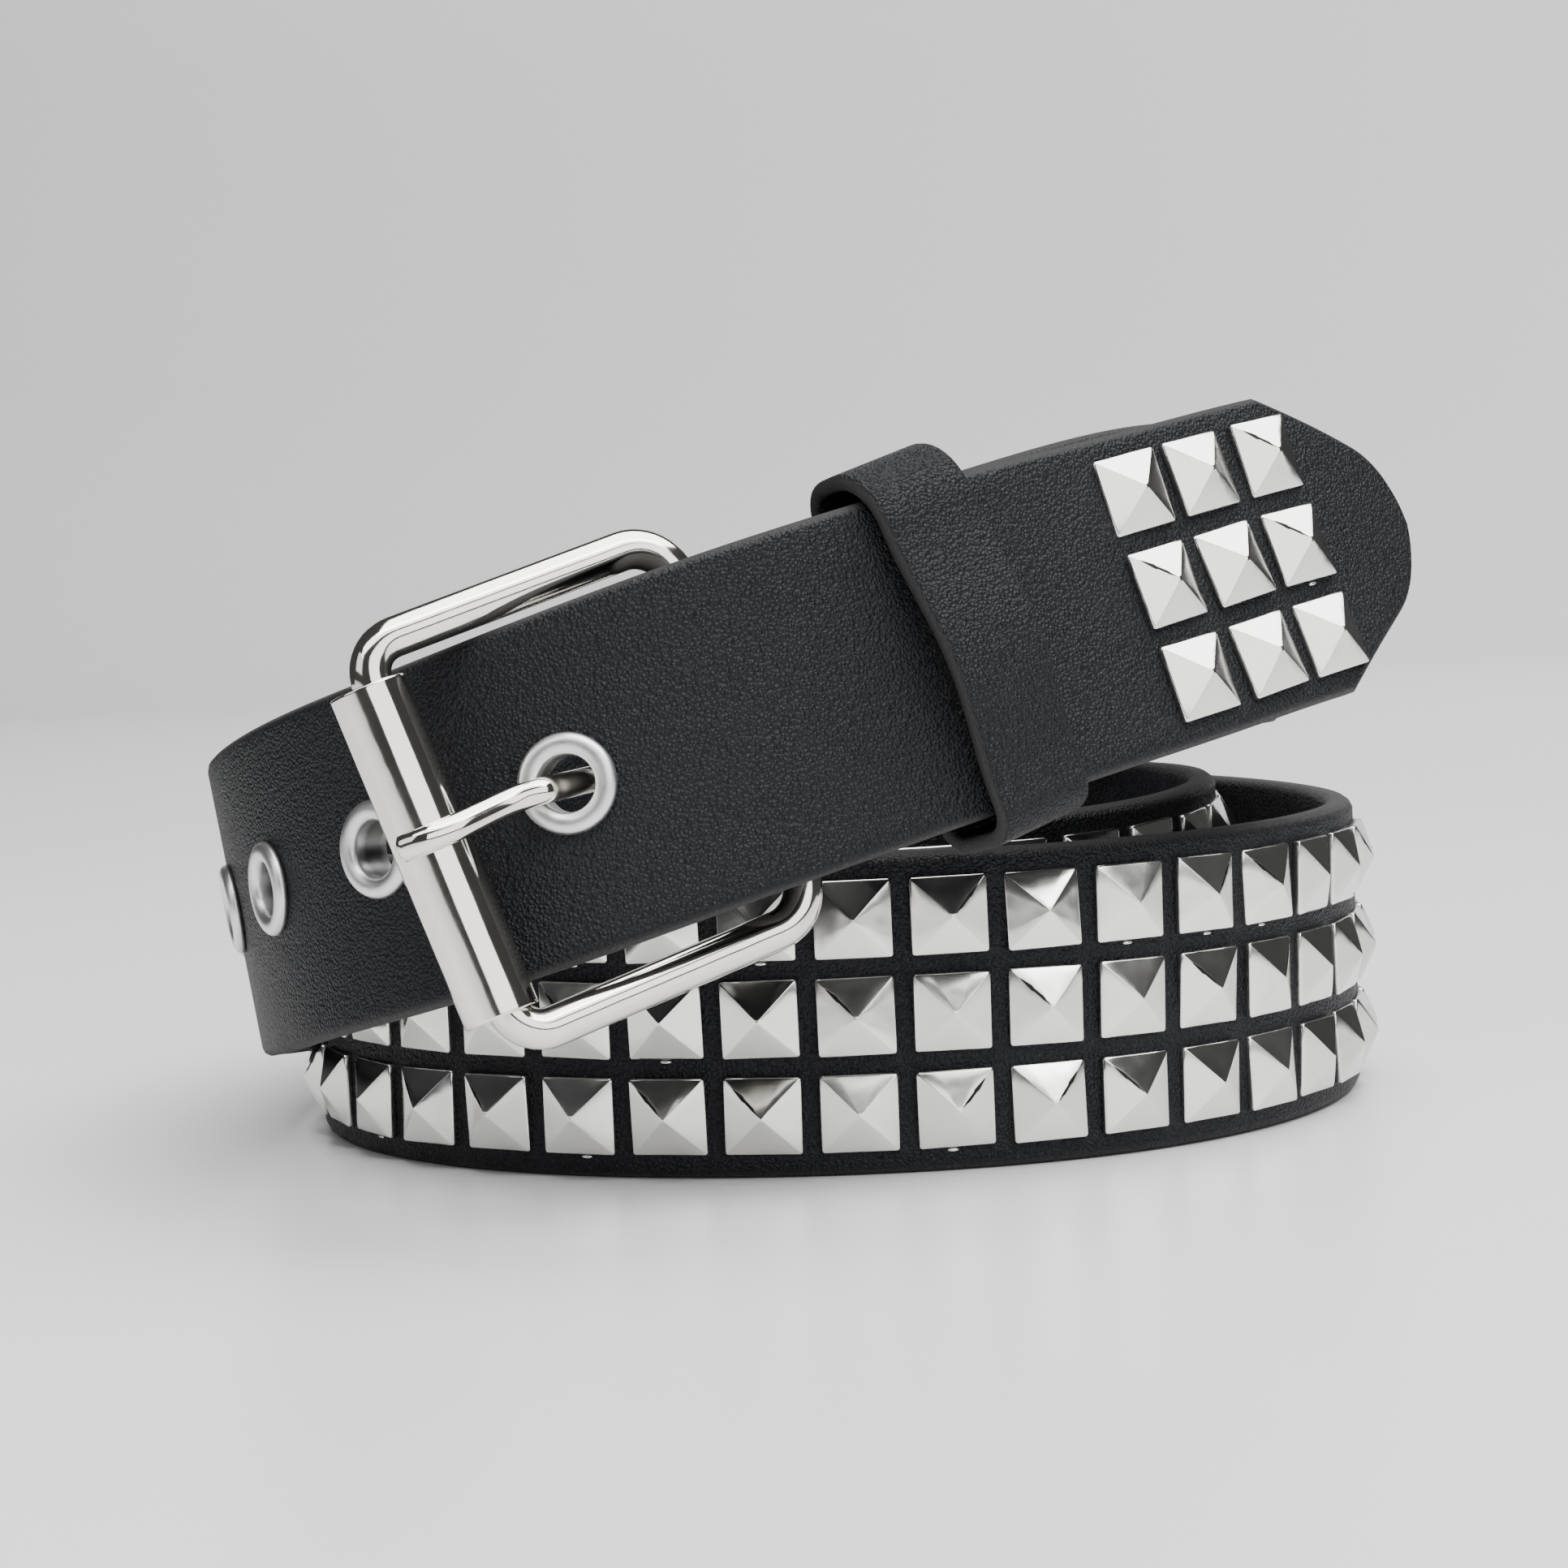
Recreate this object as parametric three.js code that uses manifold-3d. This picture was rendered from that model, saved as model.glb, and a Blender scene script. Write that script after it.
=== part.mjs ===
import * as THREE from 'three';
import { mergeVertices } from 'three/addons/utils/BufferGeometryUtils.js';
import Module from 'manifold-3d';

const wasm = await Module();
wasm.setup();

// Leather sizes, in millimetres
const strapWidth = 38;
const strapThickness = 3.6;
const strapEdge = 0.7;
const plyGap = 0.9;
const flapLength = 15;
const flapGap = 0.9;
const tipOverlap = 102.9;
const tipLength = 20;
const tipSlant = THREE.MathUtils.degToRad(30);
const coreRadius = 50;

// Stud sizes
const studSide = 9.25;
const coilStudPitch = 11.13;
const tipStudPitch = 11.4;
const studRowPitch = 11.48;
const studRim = 0.8;
const studHeight = 3.1;
const studRows = 3;
const studRoot = 0.9;
const studStart = 129.9;
const studColumns = 66;
const tipStudColumns = 3;
const tipStudInset = 22.1;

// Eyelet sizes
const eyeletCount = 7;
const eyeletPitch = 25;
const eyeletToHeel = 19.9;
const eyeletRim = 5.65;
const eyeletBore = 3.2;
const eyeletBarrel = 4.0;
const eyeletDome = 1.1;
const eyeletBack = 0.6;
const eyeletSeat = 0.5;
const eyeletSides = 12;

// Front and back rims of an eyelet. A row is one corner of the section:
// spread, distance from the bore, as a share of the rim's width;
// rise, height off the strap, as a share of the rim's own height.
const eyeletFrontRows = [
  { spread: 0, rise: 0 },
  { spread: 0.2, rise: 0.8 },
  { spread: 0.5, rise: 1 },
  { spread: 1, rise: 0.27 },
  { spread: 1, rise: 0 },
];
const eyeletBackRows = [
  { spread: 0.84, rise: 0 },
  { spread: 0.76, rise: 1 },
  { spread: 0.16, rise: 1 },
  { spread: 0, rise: 0 },
];

// Buckle sizes
const wireRadius = 2.3;
const wireSides = 8;
const frameLength = 37.3;
const frameOpening = 41.4;
const frameShift = -0.2;
const rollerCorner = 4.2;
const heelCorner = 5.2;
const rollerRadius = 4.3;
const rollerLength = 38.6;
const rollerWall = 0.5;
const rollerSides = 16;
const rollerSlip = 0.85;
const rollerLift = 0.4;
const rollerPlay = 1.7;
const heelPlay = 1.4;
const prongWidth = 3.0;
const prongThickness = 2.2;
const prongRise = 0.7;
const prongSlot = 5.2;
const prongSides = 8;

// Way of the prong, in its own plane: degrees round the heel bar, then a row for each point
// at the eyelet, then degrees round the roller.
// side, -1 behind the strap and 1 in front of it;
// beyond, distance past the eyelet's seat, as a share of the prong's thickness;
// forward, distance from the eyelet's middle to the strap's tip, as a share of its bore.
const prongBarTurns = [-130, -170, 150, 110, 70, 35, 0];
const prongRows = [
  { side: -1, beyond: 1.18, forward: 1.38 },
  { side: -1, beyond: 0.64, forward: 0.69 },
  { side: -1, beyond: 0, forward: 0.44 },
  { side: 1, beyond: 0, forward: -0.44 },
  { side: 1, beyond: 0.77, forward: -0.75 },
  { side: 1, beyond: 1.32, forward: -1.63 },
];
const prongRollerTurns = [12, -20, -52];
const buckleSkew = THREE.MathUtils.degToRad(3.5);
const buckleTwistShare = 0.25;

// Keeper sizes
const keeperWidth = 12.8;
const keeperThickness = 1.9;
const keeperToHeel = 28.1;
const keeperBulge = 1.0;
const keeperArch = 2.2;
const keeperCorner = 2.6;
const keeperCrown = 5.5;
const keeperEdge = 0.5;
const keeperPlay = 1.3;
const keeperDrop = 1.1;
const keeperSkew = THREE.MathUtils.degToRad(5);

// Clearance between neighbouring pieces
const gap = 0.3;

const leather = { color: 0x17181b, roughness: 0.55, metalness: 0.0 };
const nickel = { color: 0xd9d9d6, roughness: 0.18, metalness: 1.0 };
const satinSilver = { color: 0xbfc0c1, roughness: 0.42, metalness: 0.9 };

// Route of the strap, from the buckle to the tip. A row is one place that it passes:
// turn, degrees round the coil's axis, counted from the front;
// layer, how many studded turns lie inside it;
// reach, distance from the axis, as a share of the core radius;
// lift, height of the lower edge, as a share of the strap's width;
// lean, degrees that the upper edge leans outwards.
const innerRows = [
  { turn: 60, layer: 0, reach: 1.24, lift: 1.30, lean: -8 },
  { turn: 90, layer: 0, reach: 1.10, lift: 1.29, lean: -6 },
  { turn: 120, layer: 0, reach: 0.95, lift: 1.17, lean: -3 },
  { turn: 155, layer: 0, reach: 0.82, lift: 0.90, lean: 0 },
  { turn: 200, layer: 0, reach: 0.75, lift: 0.53, lean: 2 },
  { turn: 250, layer: 0, reach: 0.76, lift: 0.24, lean: 2 },
  { turn: 300, layer: 0, reach: 0.84, lift: 0.10, lean: 0 },
  { turn: 345, layer: 0, reach: 0.93, lift: 0.06, lean: 0 },
  { turn: 395, layer: 1, reach: 0.87, lift: 0.06, lean: 0 },
  { turn: 450, layer: 1, reach: 0.89, lift: 0.095, lean: 0 },
  { turn: 500, layer: 1, reach: 0.94, lift: 0.08, lean: 0 },
  { turn: 545, layer: 1, reach: 1.01, lift: 0.03, lean: 0 },
  { turn: 590, layer: 1, reach: 1.10, lift: 0, lean: 0 },
  { turn: 630, layer: 2, reach: 1.06, lift: 0, lean: 0 },
  { turn: 655, layer: 2, reach: 1.10, lift: 0, lean: 0 },
  { turn: 690, layer: 2, reach: 1.06, lift: 0, lean: 0 },
  { turn: 720, layer: 2, reach: 1.03, lift: 0, lean: 0 },
  { turn: 755, layer: 2, reach: 1.08, lift: 0, lean: 0 },
  { turn: 790, layer: 2, reach: 1.11, lift: 0, lean: 0 },
  { turn: 825, layer: 2, reach: 1.12, lift: 0, lean: 0 },
  { turn: 855, layer: 3, reach: 1.00, lift: 0.01, lean: 0 },
  { turn: 885, layer: 3, reach: 1.07, lift: 0.02, lean: 0 },
  { turn: 915, layer: 3, reach: 1.15, lift: 0.04, lean: 1 },
  { turn: 950, layer: 3, reach: 1.14, lift: 0.10, lean: 3 },
  { turn: 980, layer: 3, reach: 1.10, lift: 0.17, lean: 7 },
  { turn: 1005, layer: 3, reach: 1.16, lift: 0.28, lean: 8 },
];
const outerRows = [
  { turn: 1025, layer: 3, reach: 1.31, lift: 0.39, lean: 7 },
  { turn: 1040, layer: 3, reach: 1.46, lift: 0.52, lean: 1 },
  { turn: 1055, layer: 3, reach: 1.54, lift: 0.69, lean: -4 },
  { turn: 1075, layer: 3, reach: 1.43, lift: 0.97, lean: -7 },
  { turn: 1095, layer: 3, reach: 1.20, lift: 1.17, lean: -12 },
  { turn: 1115, layer: 3, reach: 1.09, lift: 1.30, lean: -16 },
  { turn: 1135, layer: 3, reach: 1.14, lift: 1.41, lean: -16 },
  { turn: 1158, layer: 3, reach: 1.35, lift: 1.45, lean: -14 },
];
const fullCoil = 1080;
const heelTurn = -6.1;
const lastTiedTurn = 35;

const turnPitch = strapThickness + studHeight;
const plyPitch = strapThickness + plyGap;

function placeRow(row, shift = 0, inwards = 0) {
  return {
    turn: row.turn - shift,
    reach: row.reach * coreRadius + row.layer * turnPitch - inwards,
    height: strapWidth / 2 + row.lift * strapWidth,
    lean: THREE.MathUtils.degToRad(row.lean),
  };
}

// The buckle end lies one ply behind the tip end for as long as the two are fastened together
const tiedRows = outerRows.filter((row) => row.turn - fullCoil <= lastTiedTurn);
const route = [
  ...tiedRows.map((row) => placeRow(row, fullCoil, plyPitch)),
  ...[...innerRows, ...outerRows].map((row) => placeRow(row)),
];

// Natural cubic spline through the values of one column of the route
function spline(column) {
  const x = route.map((row) => row.turn);
  const y = route.map((row) => row[column]);
  const last = x.length - 1;
  const upper = new Array(last + 1).fill(0);
  const bend = new Array(last + 1).fill(0);
  for (let i = 1; i < last; i += 1) {
    const before = x[i] - x[i - 1];
    const after = x[i + 1] - x[i];
    const pivot = 2 * (before + after) - before * upper[i - 1];
    const rise = 6 * ((y[i + 1] - y[i]) / after - (y[i] - y[i - 1]) / before);
    upper[i] = after / pivot;
    bend[i] = (rise - before * bend[i - 1]) / pivot;
  }
  for (let i = last - 1; i > 0; i -= 1) {
    bend[i] -= upper[i] * bend[i + 1];
  }
  return (turn) => {
    let i = 0;
    while (i < last - 1 && turn > x[i + 1]) {
      i += 1;
    }
    const span = x[i + 1] - x[i];
    const a = (x[i + 1] - turn) / span;
    const b = (turn - x[i]) / span;
    const curve = ((a ** 3 - a) * bend[i] + (b ** 3 - b) * bend[i + 1]) * (span * span) / 6;
    return a * y[i] + b * y[i + 1] + curve;
  };
}

const reachAt = spline('reach');
const heightAt = spline('height');
const leanAt = spline('lean');

function pointAt(turn) {
  const angle = THREE.MathUtils.degToRad(turn - 90);
  const reach = reachAt(turn);
  return new THREE.Vector3(reach * Math.cos(angle), reach * Math.sin(angle), heightAt(turn));
}

// Length of strap at each turn, measured from the heel bar of the buckle
const turnStep = 0.5;
const measured = [{ turn: heelTurn, length: 0 }];
for (let turn = heelTurn + turnStep; turn <= route.at(-1).turn; turn += turnStep) {
  const before = measured.at(-1);
  const step = pointAt(turn).distanceTo(pointAt(before.turn));
  measured.push({ turn, length: before.length + step });
}

function lengthAt(turn) {
  return measured.find((entry) => entry.turn >= turn).length;
}

function turnAt(length) {
  const next = Math.max(1, measured.findIndex((entry) => entry.length >= length));
  const a = measured[next - 1];
  const b = measured[next];
  return a.turn + turnStep * (length - a.length) / (b.length - a.length);
}

// Middle of the strap at a length, with its own directions: along, across and outward
function frameAt(length) {
  const turn = turnAt(length);
  const probe = 0.05;
  const along = pointAt(turn + probe).sub(pointAt(turn - probe)).normalize();
  const up = new THREE.Vector3(0, 0, 1);
  const across = up.clone().addScaledVector(along, -up.dot(along)).normalize();
  across.applyAxisAngle(along, leanAt(turn));
  return { centre: pointAt(turn), along, across, outward: along.clone().cross(across) };
}

function pointOn(frame, height, depth, forward = 0) {
  return frame.centre.clone()
    .addScaledVector(frame.across, height)
    .addScaledVector(frame.outward, depth)
    .addScaledVector(frame.along, forward);
}

// Closed body through a row of loops with equal counts of points
function loftGeometry(loops, isRing = false) {
  const count = loops[0].length;
  const positions = loops.flat().flatMap((point) => point.toArray());
  const index = [];
  const spans = isRing ? loops.length : loops.length - 1;
  for (let i = 0; i < spans; i += 1) {
    const here = i * count;
    const there = ((i + 1) % loops.length) * count;
    for (let j = 0; j < count; j += 1) {
      const k = (j + 1) % count;
      index.push(here + j, here + k, there + j);
      index.push(here + k, there + k, there + j);
    }
  }
  if (!isRing) {
    const end = (loops.length - 1) * count;
    for (let j = 1; j < count - 1; j += 1) {
      index.push(0, j + 1, j);
      index.push(end, end + j, end + j + 1);
    }
  }
  const geometry = new THREE.BufferGeometry();
  geometry.setAttribute('position', new THREE.Float32BufferAttribute(positions, 3));
  geometry.setIndex(index);
  return geometry;
}

function toSolid(geometry) {
  const bare = geometry.clone();
  bare.deleteAttribute('normal');
  bare.deleteAttribute('uv');
  const merged = mergeVertices(bare, 1e-4);
  const vertProperties = new Float32Array(merged.attributes.position.array);
  const triVerts = new Uint32Array(merged.index.array);
  return new wasm.Manifold(new wasm.Mesh({ numProp: 3, vertProperties, triVerts }));
}

function toGeometry(solid) {
  const mesh = solid.getMesh();
  const geometry = new THREE.BufferGeometry();
  geometry.setAttribute('position', new THREE.Float32BufferAttribute(mesh.vertProperties, 3));
  geometry.setIndex(Array.from(mesh.triVerts));
  return geometry;
}

// Matrix that stands a geometry's +Y on the outward direction of a frame
function standOn(frame, height, depth) {
  const toTip = frame.along.clone();
  const toEdge = frame.across.clone().negate();
  const matrix = new THREE.Matrix4().makeBasis(toTip, frame.outward, toEdge);
  return matrix.setPosition(pointOn(frame, height, depth));
}

// Flat facet of the strap between two lengths
function facetFrame(from, to) {
  const a = frameAt(from);
  const b = frameAt(to);
  const along = b.centre.clone().sub(a.centre).normalize();
  const across = a.across.clone().add(b.across);
  across.addScaledVector(along, -across.dot(along)).normalize();
  const centre = a.centre.clone().add(b.centre).multiplyScalar(0.5);
  return { centre, along, across, outward: along.clone().cross(across) };
}

// Flat seat of an eyelet
function seatFrame(length) {
  return facetFrame(length - halfSeat, length + halfSeat);
}

// Lengths along the strap of everything that is set into it
const heelCrossing = lengthAt(heelTurn + fullCoil);
const strapLength = heelCrossing + tipOverlap;
const studLengths = Array.from({ length: studColumns }, (_, i) => studStart + i * coilStudPitch);
const eyeletLengths = Array.from({ length: eyeletCount }, (_, i) => (
  heelCrossing - eyeletToHeel - i * eyeletPitch
)).reverse();
const tipStudLengths = Array.from({ length: tipStudColumns }, (_, i) => (
  strapLength - tipStudInset - (tipStudColumns - 1 - i) * tipStudPitch
));

// Half width of the strap: square to the corners of the tip, then two slants and a round nose
const noseRadius = (strapWidth / 2 - tipLength * Math.tan(tipSlant))
  / (1 / Math.cos(tipSlant) - Math.tan(tipSlant));
const noseLength = noseRadius * (1 - Math.sin(tipSlant));

function halfWidthAt(length) {
  const left = strapLength - length;
  if (left >= tipLength) {
    return strapWidth / 2;
  }
  if (left >= noseLength) {
    return strapWidth / 2 - (tipLength - left) * Math.tan(tipSlant);
  }
  return Math.sqrt(Math.max(0, noseRadius ** 2 - (noseRadius - left) ** 2));
}

// Section of the strap, with its corners taken off
function strapLoop(frame, halfWidth) {
  const outer = strapThickness / 2;
  const inner = outer - strapEdge;
  const side = halfWidth - strapEdge;
  const corners = [
    [halfWidth, -inner], [halfWidth, inner], [side, outer], [-side, outer],
    [-halfWidth, inner], [-halfWidth, -inner], [-side, -outer], [side, -outer],
  ];
  return corners.map(([height, depth]) => pointOn(frame, height, depth));
}

// Lengths of the strap's sections, so that each stud and each eyelet stands on one flat facet
const plainStep = 10;
const plainSlack = 0.3;
const halfFacet = coilStudPitch / 2;
const halfTipFacet = tipStudPitch / 2;
const halfSeat = eyeletPitch / 4;
const flapSteps = [0, 0.27, 0.6];
const noseSteps = [0.75, 0.45, 0.2, 0.03];

function stationLengths() {
  const marks = flapSteps.map((share) => share * flapLength);
  marks.push(...studLengths.map((length) => length - halfFacet));
  marks.push(studLengths.at(-1) + halfFacet);
  marks.push(...eyeletLengths.flatMap((length) => [length - halfSeat, length + halfSeat]));
  marks.push(...tipStudLengths.map((length) => length - halfTipFacet));
  marks.push(tipStudLengths.at(-1) + tipStudInset - tipLength);
  marks.push(strapLength - noseLength);
  marks.push(...noseSteps.map((share) => strapLength - share * noseLength));
  const lengths = [marks[0]];
  for (const mark of marks.slice(1)) {
    const last = lengths.at(-1);
    const pieces = Math.max(1, Math.ceil((mark - last) / plainStep - plainSlack));
    for (let i = 1; i <= pieces; i += 1) {
      lengths.push(last + (mark - last) * i / pieces);
    }
  }
  return lengths;
}

// Fold of the strap's buckle end: a flap behind the strap, then half a turn round the heel bar
const wrapRadius = wireRadius + heelPlay + strapThickness / 2;
const flapSettle = 14;
const heelFrame = frameAt(0);
const heelBar = pointOn(heelFrame, 0, -wrapRadius);

function flapFrame(length) {
  const frame = frameAt(length);
  const open = Math.max(0, 1 - length / flapSettle);
  const settled = strapThickness + flapGap;
  const depth = settled + (2 * wrapRadius - settled) * open * open * (3 - 2 * open);
  return {
    centre: pointOn(frame, 0, -depth),
    along: frame.along.clone().negate(),
    across: frame.across,
    outward: frame.outward.clone().negate(),
  };
}

function wrapFrame(angle) {
  const outward = heelFrame.outward.clone().applyAxisAngle(heelFrame.across, angle);
  const along = heelFrame.along.clone().applyAxisAngle(heelFrame.across, angle);
  const centre = heelBar.clone().addScaledVector(outward, wrapRadius);
  return { centre, along, across: heelFrame.across, outward };
}

function foldFrames() {
  const flapPieces = 5;
  const wrapPieces = 6;
  const flap = Array.from({ length: flapPieces }, (_, i) => (
    flapFrame(flapLength * (1 - i / flapPieces))
  ));
  const wrap = Array.from({ length: wrapPieces }, (_, i) => (
    wrapFrame(-Math.PI * (1 - i / wrapPieces))
  ));
  return [...flap, ...wrap];
}

// Square stud with a pyramid top: a lathe of four sides, turned so that its sides lie square
function studGeometry(root) {
  const corner = studSide / Math.SQRT2;
  const profile = [
    new THREE.Vector2(0, -root),
    new THREE.Vector2(corner, -root),
    new THREE.Vector2(corner, studRim),
    new THREE.Vector2(0, studHeight),
  ];
  return new THREE.LatheGeometry(profile, 4, Math.PI / 4);
}

function studHeights() {
  return Array.from({ length: studRows }, (_, i) => ((studRows - 1) / 2 - i) * studRowPitch);
}

function studOn(length, half, height, root, lift) {
  const facet = facetFrame(length - half, length + half);
  return studGeometry(root).applyMatrix4(standOn(facet, height, strapThickness / 2 + lift));
}

// The sections beside an eyelet take the directions of its seat, which makes the seat flat
function sectionFrame(length) {
  const eyelet = eyeletLengths.find((middle) => Math.abs(middle - length) < halfSeat + gap);
  const frame = frameAt(length);
  return eyelet === undefined ? frame : { ...seatFrame(eyelet), centre: frame.centre };
}

function studdedStrap() {
  const sections = stationLengths().map((length) => strapLoop(sectionFrame(length), halfWidthAt(length)));
  const fold = foldFrames().map((frame) => strapLoop(frame, strapWidth / 2));
  let strap = toSolid(loftGeometry([...fold, ...sections]));
  for (const length of studLengths) {
    for (const height of studHeights()) {
      strap = strap.add(toSolid(studOn(length, halfFacet, height, studRoot, 0)));
    }
  }
  const bore = eyeletBarrel + gap;
  const hole = new THREE.CylinderGeometry(bore, bore, 2 * strapThickness, eyeletSides);
  for (const length of eyeletLengths) {
    const facet = seatFrame(length);
    strap = strap.subtract(toSolid(hole.clone().applyMatrix4(standOn(facet, 0, 0))));
  }
  const slotReach = wrapRadius + strapThickness / 2 + plyGap / 3;
  const slotLength = 2 * (wrapRadius + strapThickness);
  const slot = new THREE.BoxGeometry(slotLength, 2 * slotReach, prongSlot);
  const atBar = { ...heelFrame, centre: heelBar };
  strap = strap.subtract(toSolid(slot.applyMatrix4(standOn(atBar, 0, 0))));
  return toGeometry(strap);
}

// Eyelet: a domed rim, a barrel through the strap and a flat rim behind, turned as one ring
function eyeletGeometry() {
  const front = strapThickness / 2 + eyeletSeat;
  const width = eyeletRim - eyeletBore;
  const frontRim = eyeletFrontRows.map(({ spread, rise }) => (
    new THREE.Vector2(eyeletBore + spread * width, front + rise * eyeletDome)
  ));
  const backRim = eyeletBackRows.map(({ spread, rise }) => (
    new THREE.Vector2(eyeletBore + spread * width, -front - rise * eyeletBack)
  ));
  const profile = [
    ...frontRim,
    new THREE.Vector2(eyeletBarrel, front),
    new THREE.Vector2(eyeletBarrel, -front),
    ...backRim,
  ];
  profile.push(profile[0].clone());
  return new THREE.LatheGeometry(profile.reverse(), eyeletSides);
}

// Buckle plane: the roller bar lies in front of the tip end, the heel bar behind both ends
function buckleFrame() {
  const rollerDepth = strapThickness / 2 + rollerRadius + rollerPlay;
  const searchShare = 1.4;
  const searchSteps = 30;
  let near = heelCrossing - searchShare * frameLength;
  let far = heelCrossing;
  for (let i = 0; i < searchSteps; i += 1) {
    const middle = (near + far) / 2;
    const reach = pointOn(frameAt(middle), 0, rollerDepth).distanceTo(heelBar);
    if (reach > frameLength) {
      near = middle;
    } else {
      far = middle;
    }
  }
  const rollerFrame = frameAt(near);
  const across = heelFrame.across.clone().lerp(rollerFrame.across, buckleTwistShare).normalize();
  across.applyAxisAngle(heelFrame.outward, buckleSkew);
  const along = heelBar.clone().sub(pointOn(rollerFrame, 0, rollerDepth));
  along.addScaledVector(across, -along.dot(across)).normalize();
  const centre = heelBar.clone().addScaledVector(along, -frameLength);
  return { centre, along, across, outward: along.clone().cross(across) };
}

const buckle = buckleFrame();

// Middle line of the buckle's wire: a rectangle with four rounded corners
function wirePath() {
  const side = frameOpening / 2 + wireRadius;
  const steps = 4;
  const corners = [
    { forward: 0, height: side, radius: rollerCorner, quarter: 1 },
    { forward: 0, height: -side, radius: rollerCorner, quarter: 2 },
    { forward: frameLength, height: -side, radius: heelCorner, quarter: 3 },
    { forward: frameLength, height: side, radius: heelCorner, quarter: 0 },
  ];
  return corners.flatMap(({ forward, height, radius, quarter }) => {
    const x = forward + (forward > 0 ? -radius : radius);
    const y = height + (height > 0 ? -radius : radius);
    return Array.from({ length: steps + 1 }, (_, i) => {
      const angle = (quarter + i / steps) * Math.PI / 2;
      const flat = { forward: x + radius * Math.cos(angle), height: y + radius * Math.sin(angle) };
      return { ...flat, angle };
    });
  });
}

function wireGeometry() {
  const loops = wirePath().map(({ forward, height, angle }) => {
    const middle = pointOn(buckle, height + frameShift, 0, forward);
    const away = buckle.along.clone().multiplyScalar(Math.cos(angle))
      .addScaledVector(buckle.across, Math.sin(angle));
    return Array.from({ length: wireSides }, (_, i) => {
      const turn = 2 * Math.PI * (i + 0.5) / wireSides;
      return middle.clone()
        .addScaledVector(away, wireRadius * Math.cos(turn))
        .addScaledVector(buckle.outward, -wireRadius * Math.sin(turn));
    });
  });
  return loftGeometry(loops, true);
}

function rollerGeometry() {
  const half = rollerLength / 2;
  const bore = rollerRadius - rollerWall;
  const profile = [
    new THREE.Vector2(bore, -half),
    new THREE.Vector2(rollerRadius, -half),
    new THREE.Vector2(rollerRadius, half),
    new THREE.Vector2(bore, half),
    new THREE.Vector2(bore, -half),
  ];
  const shift = frameShift - (frameOpening - rollerLength) / 2 + 3 * gap;
  const basis = new THREE.Matrix4().makeBasis(buckle.along, buckle.across, buckle.outward);
  basis.setPosition(pointOn(buckle, shift, rollerLift, -rollerSlip));
  return new THREE.LatheGeometry(profile, rollerSides).applyMatrix4(basis);
}

// Prong: an eye round the heel bar, a shank behind the tip end, up through the first eyelet
// and over the roller. Its route is drawn in the plane across the bars.
function prongGeometry() {
  const half = prongThickness / 2;
  const seat = strapThickness / 2 + eyeletSeat;
  const hole = seatFrame(eyeletLengths.at(-1));
  const bar = pointOn(buckle, 0, 0, frameLength);
  const roller = pointOn(buckle, prongRise, rollerLift, -rollerSlip);
  const around = (middle, radius, degrees) => {
    const angle = THREE.MathUtils.degToRad(degrees);
    return middle.clone()
      .addScaledVector(buckle.outward, radius * Math.cos(angle))
      .addScaledVector(buckle.along, radius * Math.sin(angle));
  };
  const points = [
    ...prongBarTurns.map((degrees) => around(bar, wireRadius + gap + half, degrees)),
    ...prongRows.map(({ side, beyond, forward }) => (
      pointOn(hole, 0, side * (seat + beyond * prongThickness), forward * eyeletBore)
    )),
    ...prongRollerTurns.map((degrees) => around(roller, rollerRadius + gap + half, degrees)),
  ];
  const curve = new THREE.CatmullRomCurve3(points, false, 'centripetal');
  const steps = 44;
  const loops = Array.from({ length: steps + 1 }, (_, i) => {
    const middle = curve.getPoint(i / steps);
    const along = curve.getTangent(i / steps);
    const lift = along.clone().cross(buckle.across).normalize();
    return Array.from({ length: prongSides }, (_, j) => {
      const turn = 2 * Math.PI * (j + 0.5) / prongSides;
      return middle.clone()
        .addScaledVector(lift, half * Math.cos(turn))
        .addScaledVector(buckle.across, -prongWidth / 2 * Math.sin(turn));
    });
  });
  return loftGeometry(loops);
}

// Inner face of the keeper: a rectangle with four rounded corners and an arched front.
// The wide corner is the one that shows above the tip end.
function keeperPath(low, high, back, front) {
  const corners = [
    { height: high, depth: front, radius: keeperCrown, quarter: 0 },
    { height: high, depth: back, radius: keeperCorner, quarter: 1 },
    { height: low, depth: back, radius: keeperCorner, quarter: 2 },
    { height: low, depth: front, radius: keeperCorner, quarter: 3 },
  ];
  const steps = 3;
  const path = corners.flatMap(({ height, depth, radius, quarter }) => {
    const x = height + (height === high ? -radius : radius);
    const y = depth + (depth === front ? -radius : radius);
    return Array.from({ length: steps + 1 }, (_, i) => {
      const angle = (quarter + i / steps) * Math.PI / 2;
      return { height: x + radius * Math.sin(angle), depth: y + radius * Math.cos(angle), angle };
    });
  });
  const foot = low + keeperCorner;
  const span = high - keeperCrown - foot;
  const pieces = 6;
  for (let i = 1; i < pieces; i += 1) {
    const turn = 2 * Math.PI * i / pieces;
    const slope = Math.PI * keeperArch * Math.sin(turn) / span;
    const depth = front + keeperArch * (1 - Math.cos(turn)) / 2;
    path.push({ height: foot + span * i / pieces, depth, angle: -Math.atan(slope) });
  }
  return path;
}

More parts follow.
